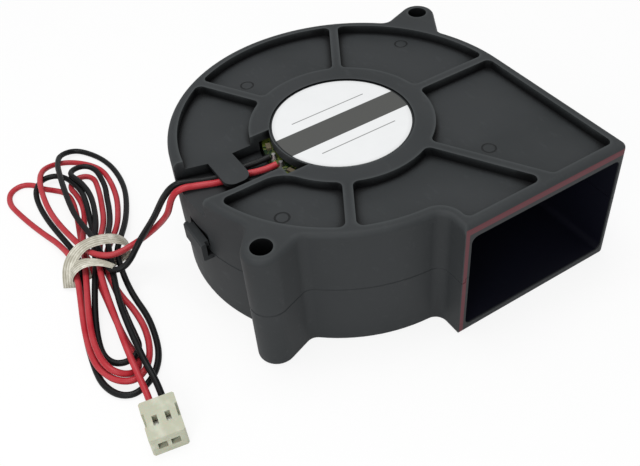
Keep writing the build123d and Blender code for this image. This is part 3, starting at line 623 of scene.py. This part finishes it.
@dataclass(frozen=True)
class Nylon:
    """Unfilled nylon: milky and slightly waxy."""

    name: str
    milk: Colour = (0.66, 0.665, 0.56)
    shade: Colour = (0.53, 0.53, 0.42)
    roughness: float = 0.38

    def make(self) -> bpy.types.Material:
        """Returns the finished material."""
        sheet = Sheet(self.name)
        cloud = sheet.noise(2.6, 3.0)
        grain = sheet.noise(0.15, 2.0)
        colour = sheet.mix(cloud.between(0.35, 0.95, 0.3), self.milk, self.shade)
        sheet.paint(colour, self.roughness + grain * 0.14)
        sheet.relief(grain * 0.4 + cloud * 0.6, 0.02, 0.5)
        sheet.constants(Subsurface_Weight=0.12, Subsurface_Scale=0.0008)
        return sheet.material


@dataclass(frozen=True)
class Insulation:
    """Extruded soft vinyl over stranded wire."""

    name: str
    fresh: Colour
    scuffed: Colour
    shine: float = 0.35
    roughness: float = 0.34

    def make(self) -> bpy.types.Material:
        """Returns the finished material."""
        sheet = Sheet(self.name)
        dust = sheet.noise(5.0, 4.0)
        strand = sheet.noise(0.5, 2.0)
        colour = sheet.mix(dust.between(0.45, 1.0, 0.3), self.fresh, self.scuffed)
        sheet.paint(colour, self.roughness + dust * 0.2)
        sheet.relief(strand * 0.6 + dust * 0.4, 0.03, 0.4)
        sheet.constants(Specular_IOR_Level=self.shine)
        return sheet.material


@dataclass(frozen=True)
class TiePaper:
    """Waxed paper over a tie's soft wire, with fine creases across it."""

    name: str
    cream: Colour = (0.76, 0.74, 0.65)
    # colour of the random dirt and of the painted shade in the grooves
    grime_and_shade: Colour = (0.33, 0.31, 0.24)

    def make(self) -> bpy.types.Material:
        """Returns the finished material."""
        sheet = Sheet(self.name)
        creases = sheet.noise(0.35, 3.0, (1.0, 0.4, 0.4))
        cloud = sheet.noise(2.2, 4.0)
        ridge = sheet.node("ShaderNodeAttribute", {"attribute_name": "ridge"})
        groove = 1 - Value(sheet, ridge.outputs["Fac"]).above(0.3, 0.6)
        # random dirt from the cloud, and painted shade in the grooves between the ribs
        dirt_and_groove_shade = cloud.between(0.42, 0.95, 0.3) * 0.7 + groove * 0.62
        colour = sheet.mix(dirt_and_groove_shade, self.cream, self.grime_and_shade)
        sheet.paint(colour, 0.5 + creases * 0.25)
        sheet.relief(creases, 0.07, 0.6)
        return sheet.material


# ------------------------------------------------------------------- dressing


def dress(material: bpy.types.Material, *names: str) -> None:
    """Gives CAD nodes a finish.

    Args:
        material: the finish.
        *names: the nodes that take it.
    """
    for name in names:
        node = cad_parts[name]
        if not node.material_slots:
            node.data.materials.append(material)
        for slot in node.material_slots:
            slot.material = material


def mesh_piece(
    name: str, mesh: bmesh.types.BMesh, material: bpy.types.Material, smooth: bool
) -> bpy.types.Object:
    """Turns a bmesh into a piece whose object sits at the origin.

    Args:
        name: the piece's name.
        mesh: its shape in metres, which is freed.
        material: its finish.
        smooth: whether its faces are shaded smooth.

    Returns:
        The new object.
    """
    bmesh.ops.recalc_face_normals(mesh, faces=mesh.faces)
    data = bpy.data.meshes.new(name)
    mesh.to_mesh(data)
    mesh.free()
    for face in data.polygons:
        face.use_smooth = smooth
    data.materials.append(material)
    made = bpy.data.objects.new(name, data)
    bpy.context.scene.collection.objects.link(made)
    return made


# ---------------------------------------------------------------- the housing


@dataclass
class Housing:
    """The scroll housing, its inlet cover, the label and the bearing tube."""

    plastic: HousingPlastic = HousingPlastic(
        "housing_plastic", (0.023, 0.026, 0.0275), (0.030, 0.033, 0.035), shine=0.2
    )
    cover_plastic: HousingPlastic = HousingPlastic(
        "cover_plastic",
        (0.023, 0.026, 0.0275),
        (0.030, 0.033, 0.035),
        shine=0.2,
        pins=(),
    )
    film: PrintedFilm = PrintedFilm("label_film")
    brass: Metal = Metal(
        "turned_brass", (0.78, 0.56, 0.23), (0.5, 0.33, 0.13), Working.TURNED
    )

    def dress(self) -> None:
        """Gives the housing's nodes their finishes."""
        dress(self.plastic.make(), "motor_housing")
        dress(self.cover_plastic.make(), "inlet_cover")
        dress(self.film.make(), "hub_label")
        dress(self.brass.make(), "bearing_tube")


# ------------------------------------------------------------------ the motor


@dataclass
class Motor:
    """The wound stator with its board and parts."""

    steel: Laminations = Laminations("stator_laminations")
    wire: WoundWire = WoundWire("enamelled_copper")
    nylon: Nylon = Nylon("insulator_nylon", (0.68, 0.68, 0.62), (0.55, 0.55, 0.48))
    laminate: BoardLaminate = BoardLaminate("board_laminate")
    tin: Metal = Metal(
        "tinned_metal", (0.74, 0.74, 0.72), (0.5, 0.5, 0.49), Working.POLISHED, 0.24
    )
    epoxy: Enamel = Enamel("chip_epoxy", (0.022, 0.022, 0.024), (0.06, 0.06, 0.06))
    ceramic: Enamel = Enamel("chip_ceramic", (0.10, 0.078, 0.045), (0.2, 0.17, 0.11))

    def dress(self) -> None:
        """Gives the motor's nodes their finishes."""
        dress(self.steel.make(), "stator_core")
        dress(self.wire.make(), *(f"coil_{n}" for n in range(1, 5)))
        dress(self.nylon.make(), "upper_insulator", "lower_insulator")
        dress(self.laminate.make(), "circuit_board")
        dress(self.tin.make(), "winding_pins", "solder_joints")
        dress(self.epoxy.make(), "driver_chip", "hall_sensor")
        dress(self.ceramic.make(), "chip_parts")


@dataclass
class Rotor:
    """The impeller with its magnet, yoke and shaft."""

    plastic: MouldedPlastic = MouldedPlastic(
        "impeller_plastic", (0.009, 0.0095, 0.011), (0.015, 0.016, 0.018), 0.4
    )
    plated: Metal = Metal(
        "plated_steel", (0.58, 0.59, 0.60), (0.38, 0.38, 0.39), Working.ROLLED, 0.3
    )
    ferrite: Ferrite = Ferrite("bonded_ferrite")
    brass: Metal = Metal(
        "bush_brass", (0.76, 0.54, 0.22), (0.48, 0.32, 0.13), Working.TURNED
    )
    ground: Metal = Metal(
        "ground_steel", (0.62, 0.62, 0.62), (0.5, 0.5, 0.5), Working.TURNED, 0.16
    )

    def dress(self) -> None:
        """Gives the rotor's nodes their finishes."""
        dress(self.plastic.make(), "impeller")
        dress(self.plated.make(), "rotor_yoke")
        dress(self.ferrite.make(), "rotor_magnet")
        dress(self.brass.make(), "shaft_bush")
        dress(self.ground.make(), "shaft")


@dataclass
class Bearings:
    """Two shielded ball bearings, the preload spring and the clip that holds the shaft."""

    race: Metal = Metal(
        "bearing_steel", (0.60, 0.60, 0.61), (0.42, 0.42, 0.43), Working.TURNED, 0.2
    )
    ball: Metal = Metal(
        "ball_steel", (0.66, 0.66, 0.67), (0.6, 0.6, 0.6), Working.POLISHED, 0.08
    )
    spring: Metal = Metal(
        "spring_wire", (0.48, 0.47, 0.46), (0.3, 0.29, 0.28), Working.POLISHED, 0.24
    )
    washer: Nylon = Nylon("washer_nylon", (0.6, 0.6, 0.56), (0.5, 0.5, 0.45))

    def dress(self) -> None:
        """Gives the bearings' nodes their finishes."""
        rings = [
            f"{place}_bearing_{ring}_ring"
            for place in ("upper", "lower")
            for ring in ("outer", "inner")
        ]
        dress(self.race.make(), *rings, "bearing_shields")
        dress(self.ball.make(), "upper_bearing_balls", "lower_bearing_balls")
        dress(self.spring.make(), "preload_spring", "retaining_clip")
        dress(self.washer.make(), "clip_washer")


# ------------------------------------------------------------------- the lead


class Cored(Enum):
    """Which of the two wires of the lead."""

    BLACK = "black"
    RED = "red"


@dataclass
class Wire:
    """One insulated wire from its pad on the board to the connector."""

    core: Cored
    finish: Insulation
    route: list[Point]
    exit: Point
    length: float
    diameter: float = 1.4

    def build(self, ends: tuple[bpy.types.Object, ...]) -> bpy.types.Object:
        """Args:
            ends: the pieces on the wire; not used.

        Returns:
            The wire.
        """
        core = self.core.value
        name = f"{core}_wire"
        curve = bpy.data.curves.new(name, "CURVE")
        curve.dimensions = "3D"
        line = curve.splines.new("NURBS")
        line.points.add(len(self.route) - 1)
        for point, place in zip(line.points, self.route):
            point.co = (*metres(place), 1.0)
        line.order_u = 3
        line.use_endpoint_u = True
        line.resolution_u = 6
        curve.bevel_depth = self.diameter / 2 * MM
        curve.bevel_resolution = 3
        curve.use_fill_caps = True
        curve.materials.append(self.finish.make())
        made = bpy.data.objects.new(name, curve)
        bpy.context.scene.collection.objects.link(made)
        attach(made, "housing")
        own = (f"{core}_lead", f"{core}_lead_inner", f"{core}_lead_tail")
        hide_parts(*own, "lead_hank")
        return made


@dataclass
class Waist:
    """The place where the hank is tied, and the way its wires run there."""

    middle: tuple[float, float] = (-21.7, -54.1)
    turn: float = -10.0

    def place(self, along: float, across: float, height: float) -> Vector:
        """Finds a point near the waist.

        Args:
            along: millimetres along the wires.
            across: millimetres across them.
            height: millimetres above the floor.

        Returns:
            The point in metres.
        """
        turned = Matrix.Rotation(math.radians(self.turn), 3, "Z")
        away = turned @ Vector((along, across, height))
        return (away + Vector((*self.middle, 0))) * MM

    def axis(self) -> Vector:
        """Returns the way the wires run."""
        return self.place(1, 0, 0) / MM - self.place(0, 0, 0) / MM


@dataclass
class TwistTie:
    """A ribbed paper tie: two bands over the hank, from a narrow tip to a hanging end."""

    waist: Waist
    finish: TiePaper = TiePaper("tie_paper")
    width: float = 3.4
    thickness: float = 0.5
    ribs: int = 5
    corners: int = 52
    groove_share: float = 0.6
    ridge_share: float = 0.7
    tip_width: float = 0.45
    tip_length: float = 0.22
    end_twist: float = -50.0
    twist_length: float = 0.2
    line: list[Point] = field(
        default_factory=lambda: [
            (8.2, 3.4, 6.3),
            (7.3, 2.4, 6.7),
            (6.0, 0.5, 7.0),
            (5.1, -1.4, 7.0),
            (4.3, -3.3, 6.5),
            (3.7, -5.2, 5.0),
            (3.2, -6.4, 2.8),
            (2.6, -5.6, 0.6),
            (1.6, -2.0, 0.4),
            (0.6, 2.0, 0.4),
            (0.0, 5.6, 0.6),
            (-0.3, 7.8, 1.6),
            (-0.4, 7.9, 3.6),
            (-0.3, 6.6, 5.8),
            (-0.1, 4.4, 7.2),
            (-0.1, 1.8, 7.8),
            (0.0, -0.6, 7.8),
            (0.4, -2.9, 7.2),
            (1.2, -4.9, 5.8),
            (2.2, -6.2, 4.2),
            (3.2, -6.8, 2.6),
            (4.6, -7.2, 0.8),
        ]
    )

    def profile(self, mesh: bmesh.types.BMesh) -> list[bmesh.types.BMEdge]:
        """Draws the tie's ribbed section on the floor's plane, x across its width.

        Args:
            mesh: the mesh to draw in.

        Returns:
            The section's edges.
        """
        ridge = mesh.verts.layers.float.new("ridge")
        made = bmesh.ops.create_circle(mesh, segments=self.corners, radius=1.0)
        for corner in made["verts"]:
            turn = math.atan2(corner.co.y, corner.co.x)
            side = math.cos(turn)
            corner[ridge] = 0.5 + 0.5 * math.cos(math.pi * self.ribs * (side + 1))
            corner.co.x = side * self.width / 2 * MM
            deep = self.groove_share + self.ridge_share * corner[ridge]
            corner.co.y = math.sin(turn) * self.thickness / 2 * deep * MM
        return list(mesh.edges)

    def stations(self) -> list[Matrix]:
        """Returns where the section stands along the tie, from its smooth line."""
        curve = bpy.data.curves.new("tie_line", "CURVE")
        curve.dimensions = "3D"
        line = curve.splines.new("NURBS")
        line.points.add(len(self.line) - 1)
        for point, place in zip(line.points, self.line):
            point.co = (*self.waist.place(*place), 1.0)
        line.order_u = 4
        line.use_endpoint_u = True
        line.resolution_u = 4
        helper = bpy.data.objects.new("tie_line", curve)
        points = [v.co.copy() for v in bpy.data.meshes.new_from_object(helper).vertices]
        bpy.data.objects.remove(helper)
        placed = []
        for n, here in enumerate(points):
            ahead = points[min(n + 1, len(points) - 1)] - points[max(n - 1, 0)]
            ahead.normalize()
            share = n / (len(points) - 1)
            twist = max(0.0, share - 1 + self.twist_length) / self.twist_length
            wide = self.waist.axis()
            wide.rotate(Quaternion(ahead, math.radians(self.end_twist * twist)))
            wide = (wide - wide.dot(ahead) * ahead).normalized()
            thick = ahead.cross(wide)
            turned = Matrix((wide, thick, ahead)).transposed().to_4x4()
            full = min(1.0, share / self.tip_length)
            narrow = self.tip_width + (1 - self.tip_width) * full
            tapered = Matrix.Diagonal((narrow, 1, 1, 1))
            placed.append(Matrix.Translation(here) @ turned @ tapered)
        return placed

    def build(self) -> bpy.types.Object:
        """Sweeps the section along the tie.

        Returns:
            The tie.
        """
        mesh = bmesh.new()
        edges = self.profile(mesh)
        stations = self.stations()
        bmesh.ops.transform(mesh, matrix=stations[0], verts=mesh.verts)
        bmesh.ops.contextual_create(mesh, geom=edges)
        last = stations[0]
        for station in stations[1:]:
            step = bmesh.ops.extrude_edge_only(mesh, edges=edges)["geom"]
            verts = [g for g in step if isinstance(g, bmesh.types.BMVert)]
            rims = [g for g in step if isinstance(g, bmesh.types.BMEdge)]
            edges = [e for e in rims if all(v in verts for v in e.verts)]
            bmesh.ops.transform(mesh, matrix=station @ last.inverted(), verts=verts)
            last = station
        bmesh.ops.contextual_create(mesh, geom=edges)
        made = mesh_piece("twist_tie", mesh, self.finish.make(), True)
        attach(made, "housing")
        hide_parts("cable_tie")
        return made


@dataclass
class Lead:
    """The two-wire lead: both wires, the tie on their hank and the connector."""

    waist: Waist = field(default_factory=Waist)
    red: Insulation = Insulation(
        "red_insulation", (0.39, 0.010, 0.020), (0.44, 0.036, 0.046)
    )
    black: Insulation = Insulation(
        "black_insulation", (0.0025, 0.003, 0.0035), (0.006, 0.0065, 0.007), 0.2
    )
    nylon: Nylon = Nylon("connector_nylon", (0.60, 0.61, 0.50), (0.45, 0.46, 0.35))
    tin: Metal = Metal(
        "contact_tin", (0.76, 0.75, 0.72), (0.55, 0.54, 0.5), Working.POLISHED, 0.22
    )
    wire_length: float = 490.0
    black_exit: Point = (-6.2, -35.6, 26.6)
    red_exit: Point = (-4.2, -35.7, 26.5)
    black_route: list[Point] = field(
        default_factory=lambda: [
            (-1.5, -16.85, 27.52), (-1.7, -18.6, 27.2), (-2.6, -20.6, 26.7),
            (-3.1, -23.2, 26.36), (-3.2, -26.0, 26.34), (-3.5, -28.6, 26.34),
            (-4.6, -31.6, 26.4), (-5.5, -33.9, 26.6), (-6.2, -35.8, 26.8), (-6.8, -37.3, 25.9),
            (-7.6, -38.4, 24.2), (-8.8, -39.4, 21.8), (-10.9, -41.1, 16.8),
            (-12.7, -43.2, 12.6), (-13.5, -45.0, 9.9), (-12.8, -47.0, 8.2),
            (-12.1, -48.2, 7.5), (-11.4, -50.0, 6.7), (-11.8, -51.8, 6.1), (-13.4, -53.1, 5.7),
            (-15.2, -53.2, 5.5), (-17.4, -53.1, 5.5), (-21.6, -52.8, 5.7), (-26.6, -52.6, 5.3),
            (-30.6, -53.0, 5.1), (-35.8, -53.3, 5.1), (-40.9, -52.9, 5.0), (-47.2, -52.1, 4.7),
            (-53.0, -51.2, 4.2), (-59.3, -50.0, 3.4), (-63.8, -47.9, 2.2), (-65.0, -43.6, 0.9),
            (-60.6, -40.4, 0.7), (-55.3, -38.5, 0.7), (-49.2, -38.0, 0.7), (-42.8, -38.7, 0.8),
            (-36.7, -40.6, 1.2), (-29.9, -43.5, 2.0), (-24.6, -46.8, 2.8),
            (-20.6, -49.4, 2.95), (-16.6, -50.2, 2.6), (-12.4, -50.9, 2.0), (-7.1, -51.2, 1.2),
            (-0.8, -50.8, 0.7), (5.6, -51.7, 0.7), (10.4, -53.1, 0.7), (14.0, -55.6, 0.7),
            (15.9, -58.6, 0.7), (16.4, -61.6, 0.7), (14.4, -64.2, 0.7), (10.4, -65.6, 0.7),
            (6.0, -65.5, 0.7), (-1.3, -64.4, 0.7), (-7.4, -62.9, 0.7), (-12.5, -61.3, 0.9),
            (-17.3, -59.6, 1.3), (-21.4, -58.2, 1.7), (-25.4, -57.2, 1.8), (-29.4, -57.5, 1.7),
            (-37.3, -58.4, 1.4), (-43.3, -58.9, 1.2), (-49.6, -58.9, 1.4), (-54.2, -57.9, 2.0),
            (-57.2, -55.2, 2.05), (-57.0, -51.8, 1.8), (-54.2, -49.9, 2.05),
            (-50.5, -48.9, 2.2), (-46.4, -48.4, 2.2), (-42.0, -48.9, 2.6), (-36.0, -50.2, 2.6),
            (-29.8, -51.6, 2.1), (-24.4, -52.4, 1.75), (-19.0, -53.4, 1.6),
            (-13.4, -53.6, 1.2), (-7.5, -54.2, 0.9), (-1.4, -54.9, 1.2), (4.4, -55.4, 2.1),
            (6.9, -55.7, 2.2), (8.8, -57.2, 2.1), (9.3, -59.6, 2.1), (8.2, -61.7, 2.1),
            (5.8, -62.8, 2.1), (2.6, -62.7, 2.2), (-2.8, -61.4, 2.4), (-9.1, -59.2, 2.7),
            (-15.4, -56.6, 3.1), (-20.0, -54.6, 3.0), (-24.4, -53.4, 3.0), (-28.4, -51.5, 3.5),
            (-32.2, -49.8, 3.2), (-38.5, -48.0, 2.8), (-43.7, -47.1, 2.6), (-47.9, -47.4, 3.1),
            (-50.6, -48.2, 3.4), (-52.8, -48.7, 3.2), (-54.8, -48.0, 2.8), (-55.9, -45.8, 2.3),
            (-55.4, -43.5, 1.8), (-53.4, -42.3, 1.4), (-50.8, -42.2, 1.1), (-46.4, -42.5, 0.8),
            (-42.0, -43.8, 0.9), (-37.5, -44.9, 1.2), (-31.5, -46.8, 2.1), (-26.0, -49.1, 4.2),
            (-21.6, -50.6, 4.3), (-17.0, -51.8, 4.3), (-12.6, -53.0, 4.2), (-4.8, -54.9, 4.3),
            (4.1, -56.0, 4.2), (12.4, -56.6, 3.7), (17.0, -56.5, 2.7), (20.6, -56.9, 2.5),
            (23.8, -57.4, 2.5),
        ]
    )
    red_route: list[Point] = field(
        default_factory=lambda: [
            (1.5, -16.85, 27.52), (1.2, -18.6, 27.15), (0.0, -21.0, 26.5),
            (-1.2, -23.6, 26.34), (-1.7, -26.2, 26.34), (-1.8, -28.6, 26.34),
            (-2.8, -31.0, 26.4), (-3.7, -33.4, 26.5), (-4.2, -35.3, 26.8), (-4.7, -37.1, 26.2),
            (-5.3, -38.2, 24.4), (-6.0, -38.7, 22.2), (-7.4, -39.1, 19.2),
            (-10.2, -40.2, 15.2), (-13.2, -42.0, 11.2), (-15.4, -44.2, 8.2),
            (-16.0, -46.4, 7.2), (-15.7, -48.8, 7.0), (-15.9, -51.4, 7.0), (-17.3, -53.4, 7.0),
            (-19.8, -54.8, 6.5), (-23.4, -55.6, 5.3), (-28.0, -56.3, 4.6), (-35.4, -57.4, 4.2),
            (-41.7, -57.8, 4.2), (-47.9, -57.3, 4.1), (-54.5, -56.2, 3.8), (-59.5, -54.2, 2.9),
            (-62.4, -50.7, 1.2), (-61.4, -46.6, 0.7), (-57.8, -43.1, 0.7), (-53.3, -40.8, 0.7),
            (-48.0, -40.6, 0.7), (-41.5, -41.5, 0.8), (-36.2, -43.1, 1.2), (-30.0, -45.5, 2.0),
            (-25.2, -48.6, 2.9), (-21.6, -51.6, 2.95), (-17.0, -53.0, 3.0),
            (-12.8, -53.8, 3.1), (-7.7, -53.6, 2.4), (-3.4, -52.8, 2.0), (2.6, -52.7, 1.8),
            (8.5, -54.0, 2.0), (12.9, -56.4, 2.1), (14.6, -59.8, 2.1), (12.6, -62.9, 2.1),
            (8.8, -64.6, 2.1), (5.0, -65.0, 2.1), (1.0, -64.6, 2.1), (-4.9, -63.4, 2.2),
            (-11.3, -61.6, 2.5), (-16.9, -60.0, 2.9), (-21.6, -59.2, 3.0), (-26.0, -58.6, 2.6),
            (-33.0, -59.6, 1.6), (-37.8, -60.9, 0.9), (-43.8, -62.6, 0.7), (-50.2, -64.1, 0.7),
            (-54.6, -64.8, 0.7), (-58.6, -63.6, 0.7), (-60.0, -60.4, 0.7), (-58.4, -57.6, 0.7),
            (-55.4, -56.2, 0.7), (-52.9, -53.8, 0.7), (-50.2, -51.7, 0.8), (-45.8, -51.3, 1.2),
            (-39.2, -52.5, 1.2), (-32.1, -54.4, 0.9), (-27.2, -55.6, 1.3),
            (-22.0, -55.5, 1.75), (-17.0, -56.0, 1.6), (-10.8, -56.4, 1.5), (-4.0, -57.0, 0.8),
            (3.0, -57.4, 0.7), (8.2, -57.1, 0.7), (10.6, -57.5, 0.9), (12.2, -59.2, 1.5),
            (12.1, -61.4, 2.7), (10.4, -63.0, 3.5), (8.0, -63.6, 3.7), (5.4, -63.7, 3.5),
            (1.6, -63.4, 3.5), (-3.3, -62.3, 3.6), (-9.7, -60.3, 3.8), (-16.0, -58.2, 3.9),
            (-21.4, -56.6, 3.6), (-25.8, -55.2, 3.4), (-30.0, -54.2, 2.6), (-34.5, -52.4, 1.5),
            (-39.5, -50.6, 0.8), (-44.0, -49.7, 0.7), (-48.6, -49.7, 0.7), (-50.9, -50.1, 0.7),
            (-53.1, -49.0, 0.7), (-53.9, -46.8, 0.7), (-53.0, -44.7, 0.7), (-50.9, -43.8, 0.7),
            (-48.6, -44.0, 0.85), (-44.2, -44.8, 1.2), (-40.0, -45.8, 1.7),
            (-32.2, -47.9, 2.6), (-25.9, -51.0, 4.1), (-21.4, -52.9, 4.2), (-16.4, -54.8, 4.7),
            (-8.4, -56.3, 5.0), (0.2, -57.4, 5.0), (8.4, -58.5, 4.6), (15.4, -59.0, 3.2),
            (20.1, -59.3, 2.5), (23.3, -59.9, 2.5),
        ]
    )

    def build(self) -> list[bpy.types.Object]:
        """Builds the lead.

        Returns:
            The tie and the two wires.
        """
        dress(self.nylon.make(), "connector_housing")
        dress(self.tin.make(), "connector_contacts")
        tie = TwistTie(self.waist).build()
        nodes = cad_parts
        plug = (nodes["connector_housing"], nodes["connector_contacts"])
        wires = (
            Wire(Cored.BLACK, self.black, self.black_route, self.black_exit, self.wire_length),
            Wire(Cored.RED, self.red, self.red_route, self.red_exit, self.wire_length),
        )
        return [tie, *(wire.build(plug) for wire in wires)]


# ----------------------------------------------------------------- the studio


@dataclass
class Lamp:
    """One soft square lamp."""

    name: str
    place: Point
    aim: Point
    size: float
    power: float

    def build(self) -> None:
        """Hangs the lamp."""
        data = bpy.data.lights.new(self.name, "AREA")
        data.size = self.size * MM
        data.energy = self.power
        lamp = bpy.data.objects.new(self.name, data)
        way = metres(self.aim) - metres(self.place)
        turned = way.to_track_quat("-Z", "Y").to_matrix().to_4x4()
        lamp.matrix_world = Matrix.Translation(metres(self.place)) @ turned
        bpy.context.scene.collection.objects.link(lamp)


@dataclass
class Studio:
    """The floor, the soft light and the camera."""

    lens: float = 46.988
    film: float = 36.0
    eye: Point = (120.932, -72.787, 136.255)
    right: Point = (0.53015, 0.84526, -0.06697)
    up: Point = (-0.57002, 0.41376, 0.70984)
    near: float = 5.0
    world_light: float = 0.6
    floor_size: float = 3000.0
    floor_drop: float = 0.05
    floor_pale: Colour = (0.86, 0.86, 0.86)
    floor_shade: Colour = (0.84, 0.84, 0.84)
    floor_glow: float = 0.85
    floor_sheen: float = 0.4
    lamps: list[Lamp] = field(
        default_factory=lambda: [
            Lamp("ceiling_lamp", (-40, -40, 420), (0, 0, 10), 220, 0.85),
            Lamp("front_lamp", (230, -260, 230), (0, 0, 10), 200, 0.45),
        ]
    )

    def camera(self) -> None:
        """Sets the camera up."""
        data = bpy.data.cameras.new("camera")
        data.sensor_width = self.film
        data.lens = self.lens
        data.clip_start = self.near * MM
        camera = bpy.data.objects.new("camera", data)
        right, up = Vector(self.right).normalized(), Vector(self.up).normalized()
        turned = Matrix((right, up, right.cross(up))).transposed().to_4x4()
        camera.matrix_world = Matrix.Translation(metres(self.eye)) @ turned
        bpy.context.scene.collection.objects.link(camera)
        bpy.context.scene.camera = camera

    def floor(self) -> None:
        """Lays the pale floor."""
        sheet = Sheet("studio_floor")
        cloud = sheet.noise(220.0, 2.0)
        colour = sheet.mix(cloud, self.floor_pale, self.floor_shade)
        sheet.paint(colour, 0.7 + cloud * 0.1)
        glow = sheet.node(
            "ShaderNodeEmission", None, {"Color": (1, 1, 1, 1), "Strength": 1.0}
        )
        path = sheet.node("ShaderNodeLightPath")
        camera, glossy, through = (
            Value(sheet, path.outputs[f"Is {ray} Ray"])
            for ray in ("Camera", "Glossy", "Transmission")
        )
        seen = (camera + through) * self.floor_glow + glossy * self.floor_sheen
        both = sheet.node(
            "ShaderNodeMixShader",
            None,
            {0: seen, 1: sheet.shader.outputs[0], 2: glow.outputs[0]},
        )
        out = next(n for n in sheet.tree.nodes if n.type == "OUTPUT_MATERIAL")
        sheet.tree.links.new(both.outputs[0], out.inputs["Surface"])
        mesh = bmesh.new()
        bmesh.ops.create_grid(
            mesh, x_segments=1, y_segments=1, size=self.floor_size / 2 * MM
        )
        bmesh.ops.translate(mesh, vec=metres((0, 0, -self.floor_drop)), verts=mesh.verts)
        mesh_piece("studio_floor", mesh, sheet.material, False)

    def world(self) -> None:
        """Sets the even light from all round, white where it is seen."""
        world = bpy.data.worlds.new("studio_world")
        world.use_nodes = True
        bpy.context.scene.world = world
        tree = world.node_tree
        background = tree.nodes["Background"]
        path = tree.nodes.new("ShaderNodeLightPath")
        seen = tree.nodes.new("ShaderNodeMath")
        seen.operation = "MAXIMUM"
        tree.links.new(path.outputs["Is Camera Ray"], seen.inputs[0])
        tree.links.new(path.outputs["Is Transmission Ray"], seen.inputs[1])
        level = tree.nodes.new("ShaderNodeMapRange")
        level.inputs["To Min"].default_value = self.world_light
        tree.links.new(seen.outputs[0], level.inputs["Value"])
        background.inputs["Color"].default_value = (1, 1, 1, 1)
        tree.links.new(level.outputs[0], background.inputs["Strength"])

    def build(self) -> None:
        """Builds the studio."""
        bpy.context.scene.view_settings.view_transform = "Standard"
        self.camera()
        self.floor()
        self.world()
        for lamp in self.lamps:
            lamp.build()


# ----------------------------------------------------------------------- main


def main() -> None:
    """Dresses the fan piece by piece and sets up the studio."""
    logging.basicConfig(level=logging.INFO, format="%(message)s")
    for name, part in (
        ("housing", Housing()),
        ("motor", Motor()),
        ("rotor", Rotor()),
        ("bearings", Bearings()),
    ):
        part.dress()
        log.info("dressed the %s", name)
    for piece in Lead().build():
        log.info("built %s", piece.name)
    Studio().build()
    log.info("built the studio")


if __name__ == "__main__":
    main()
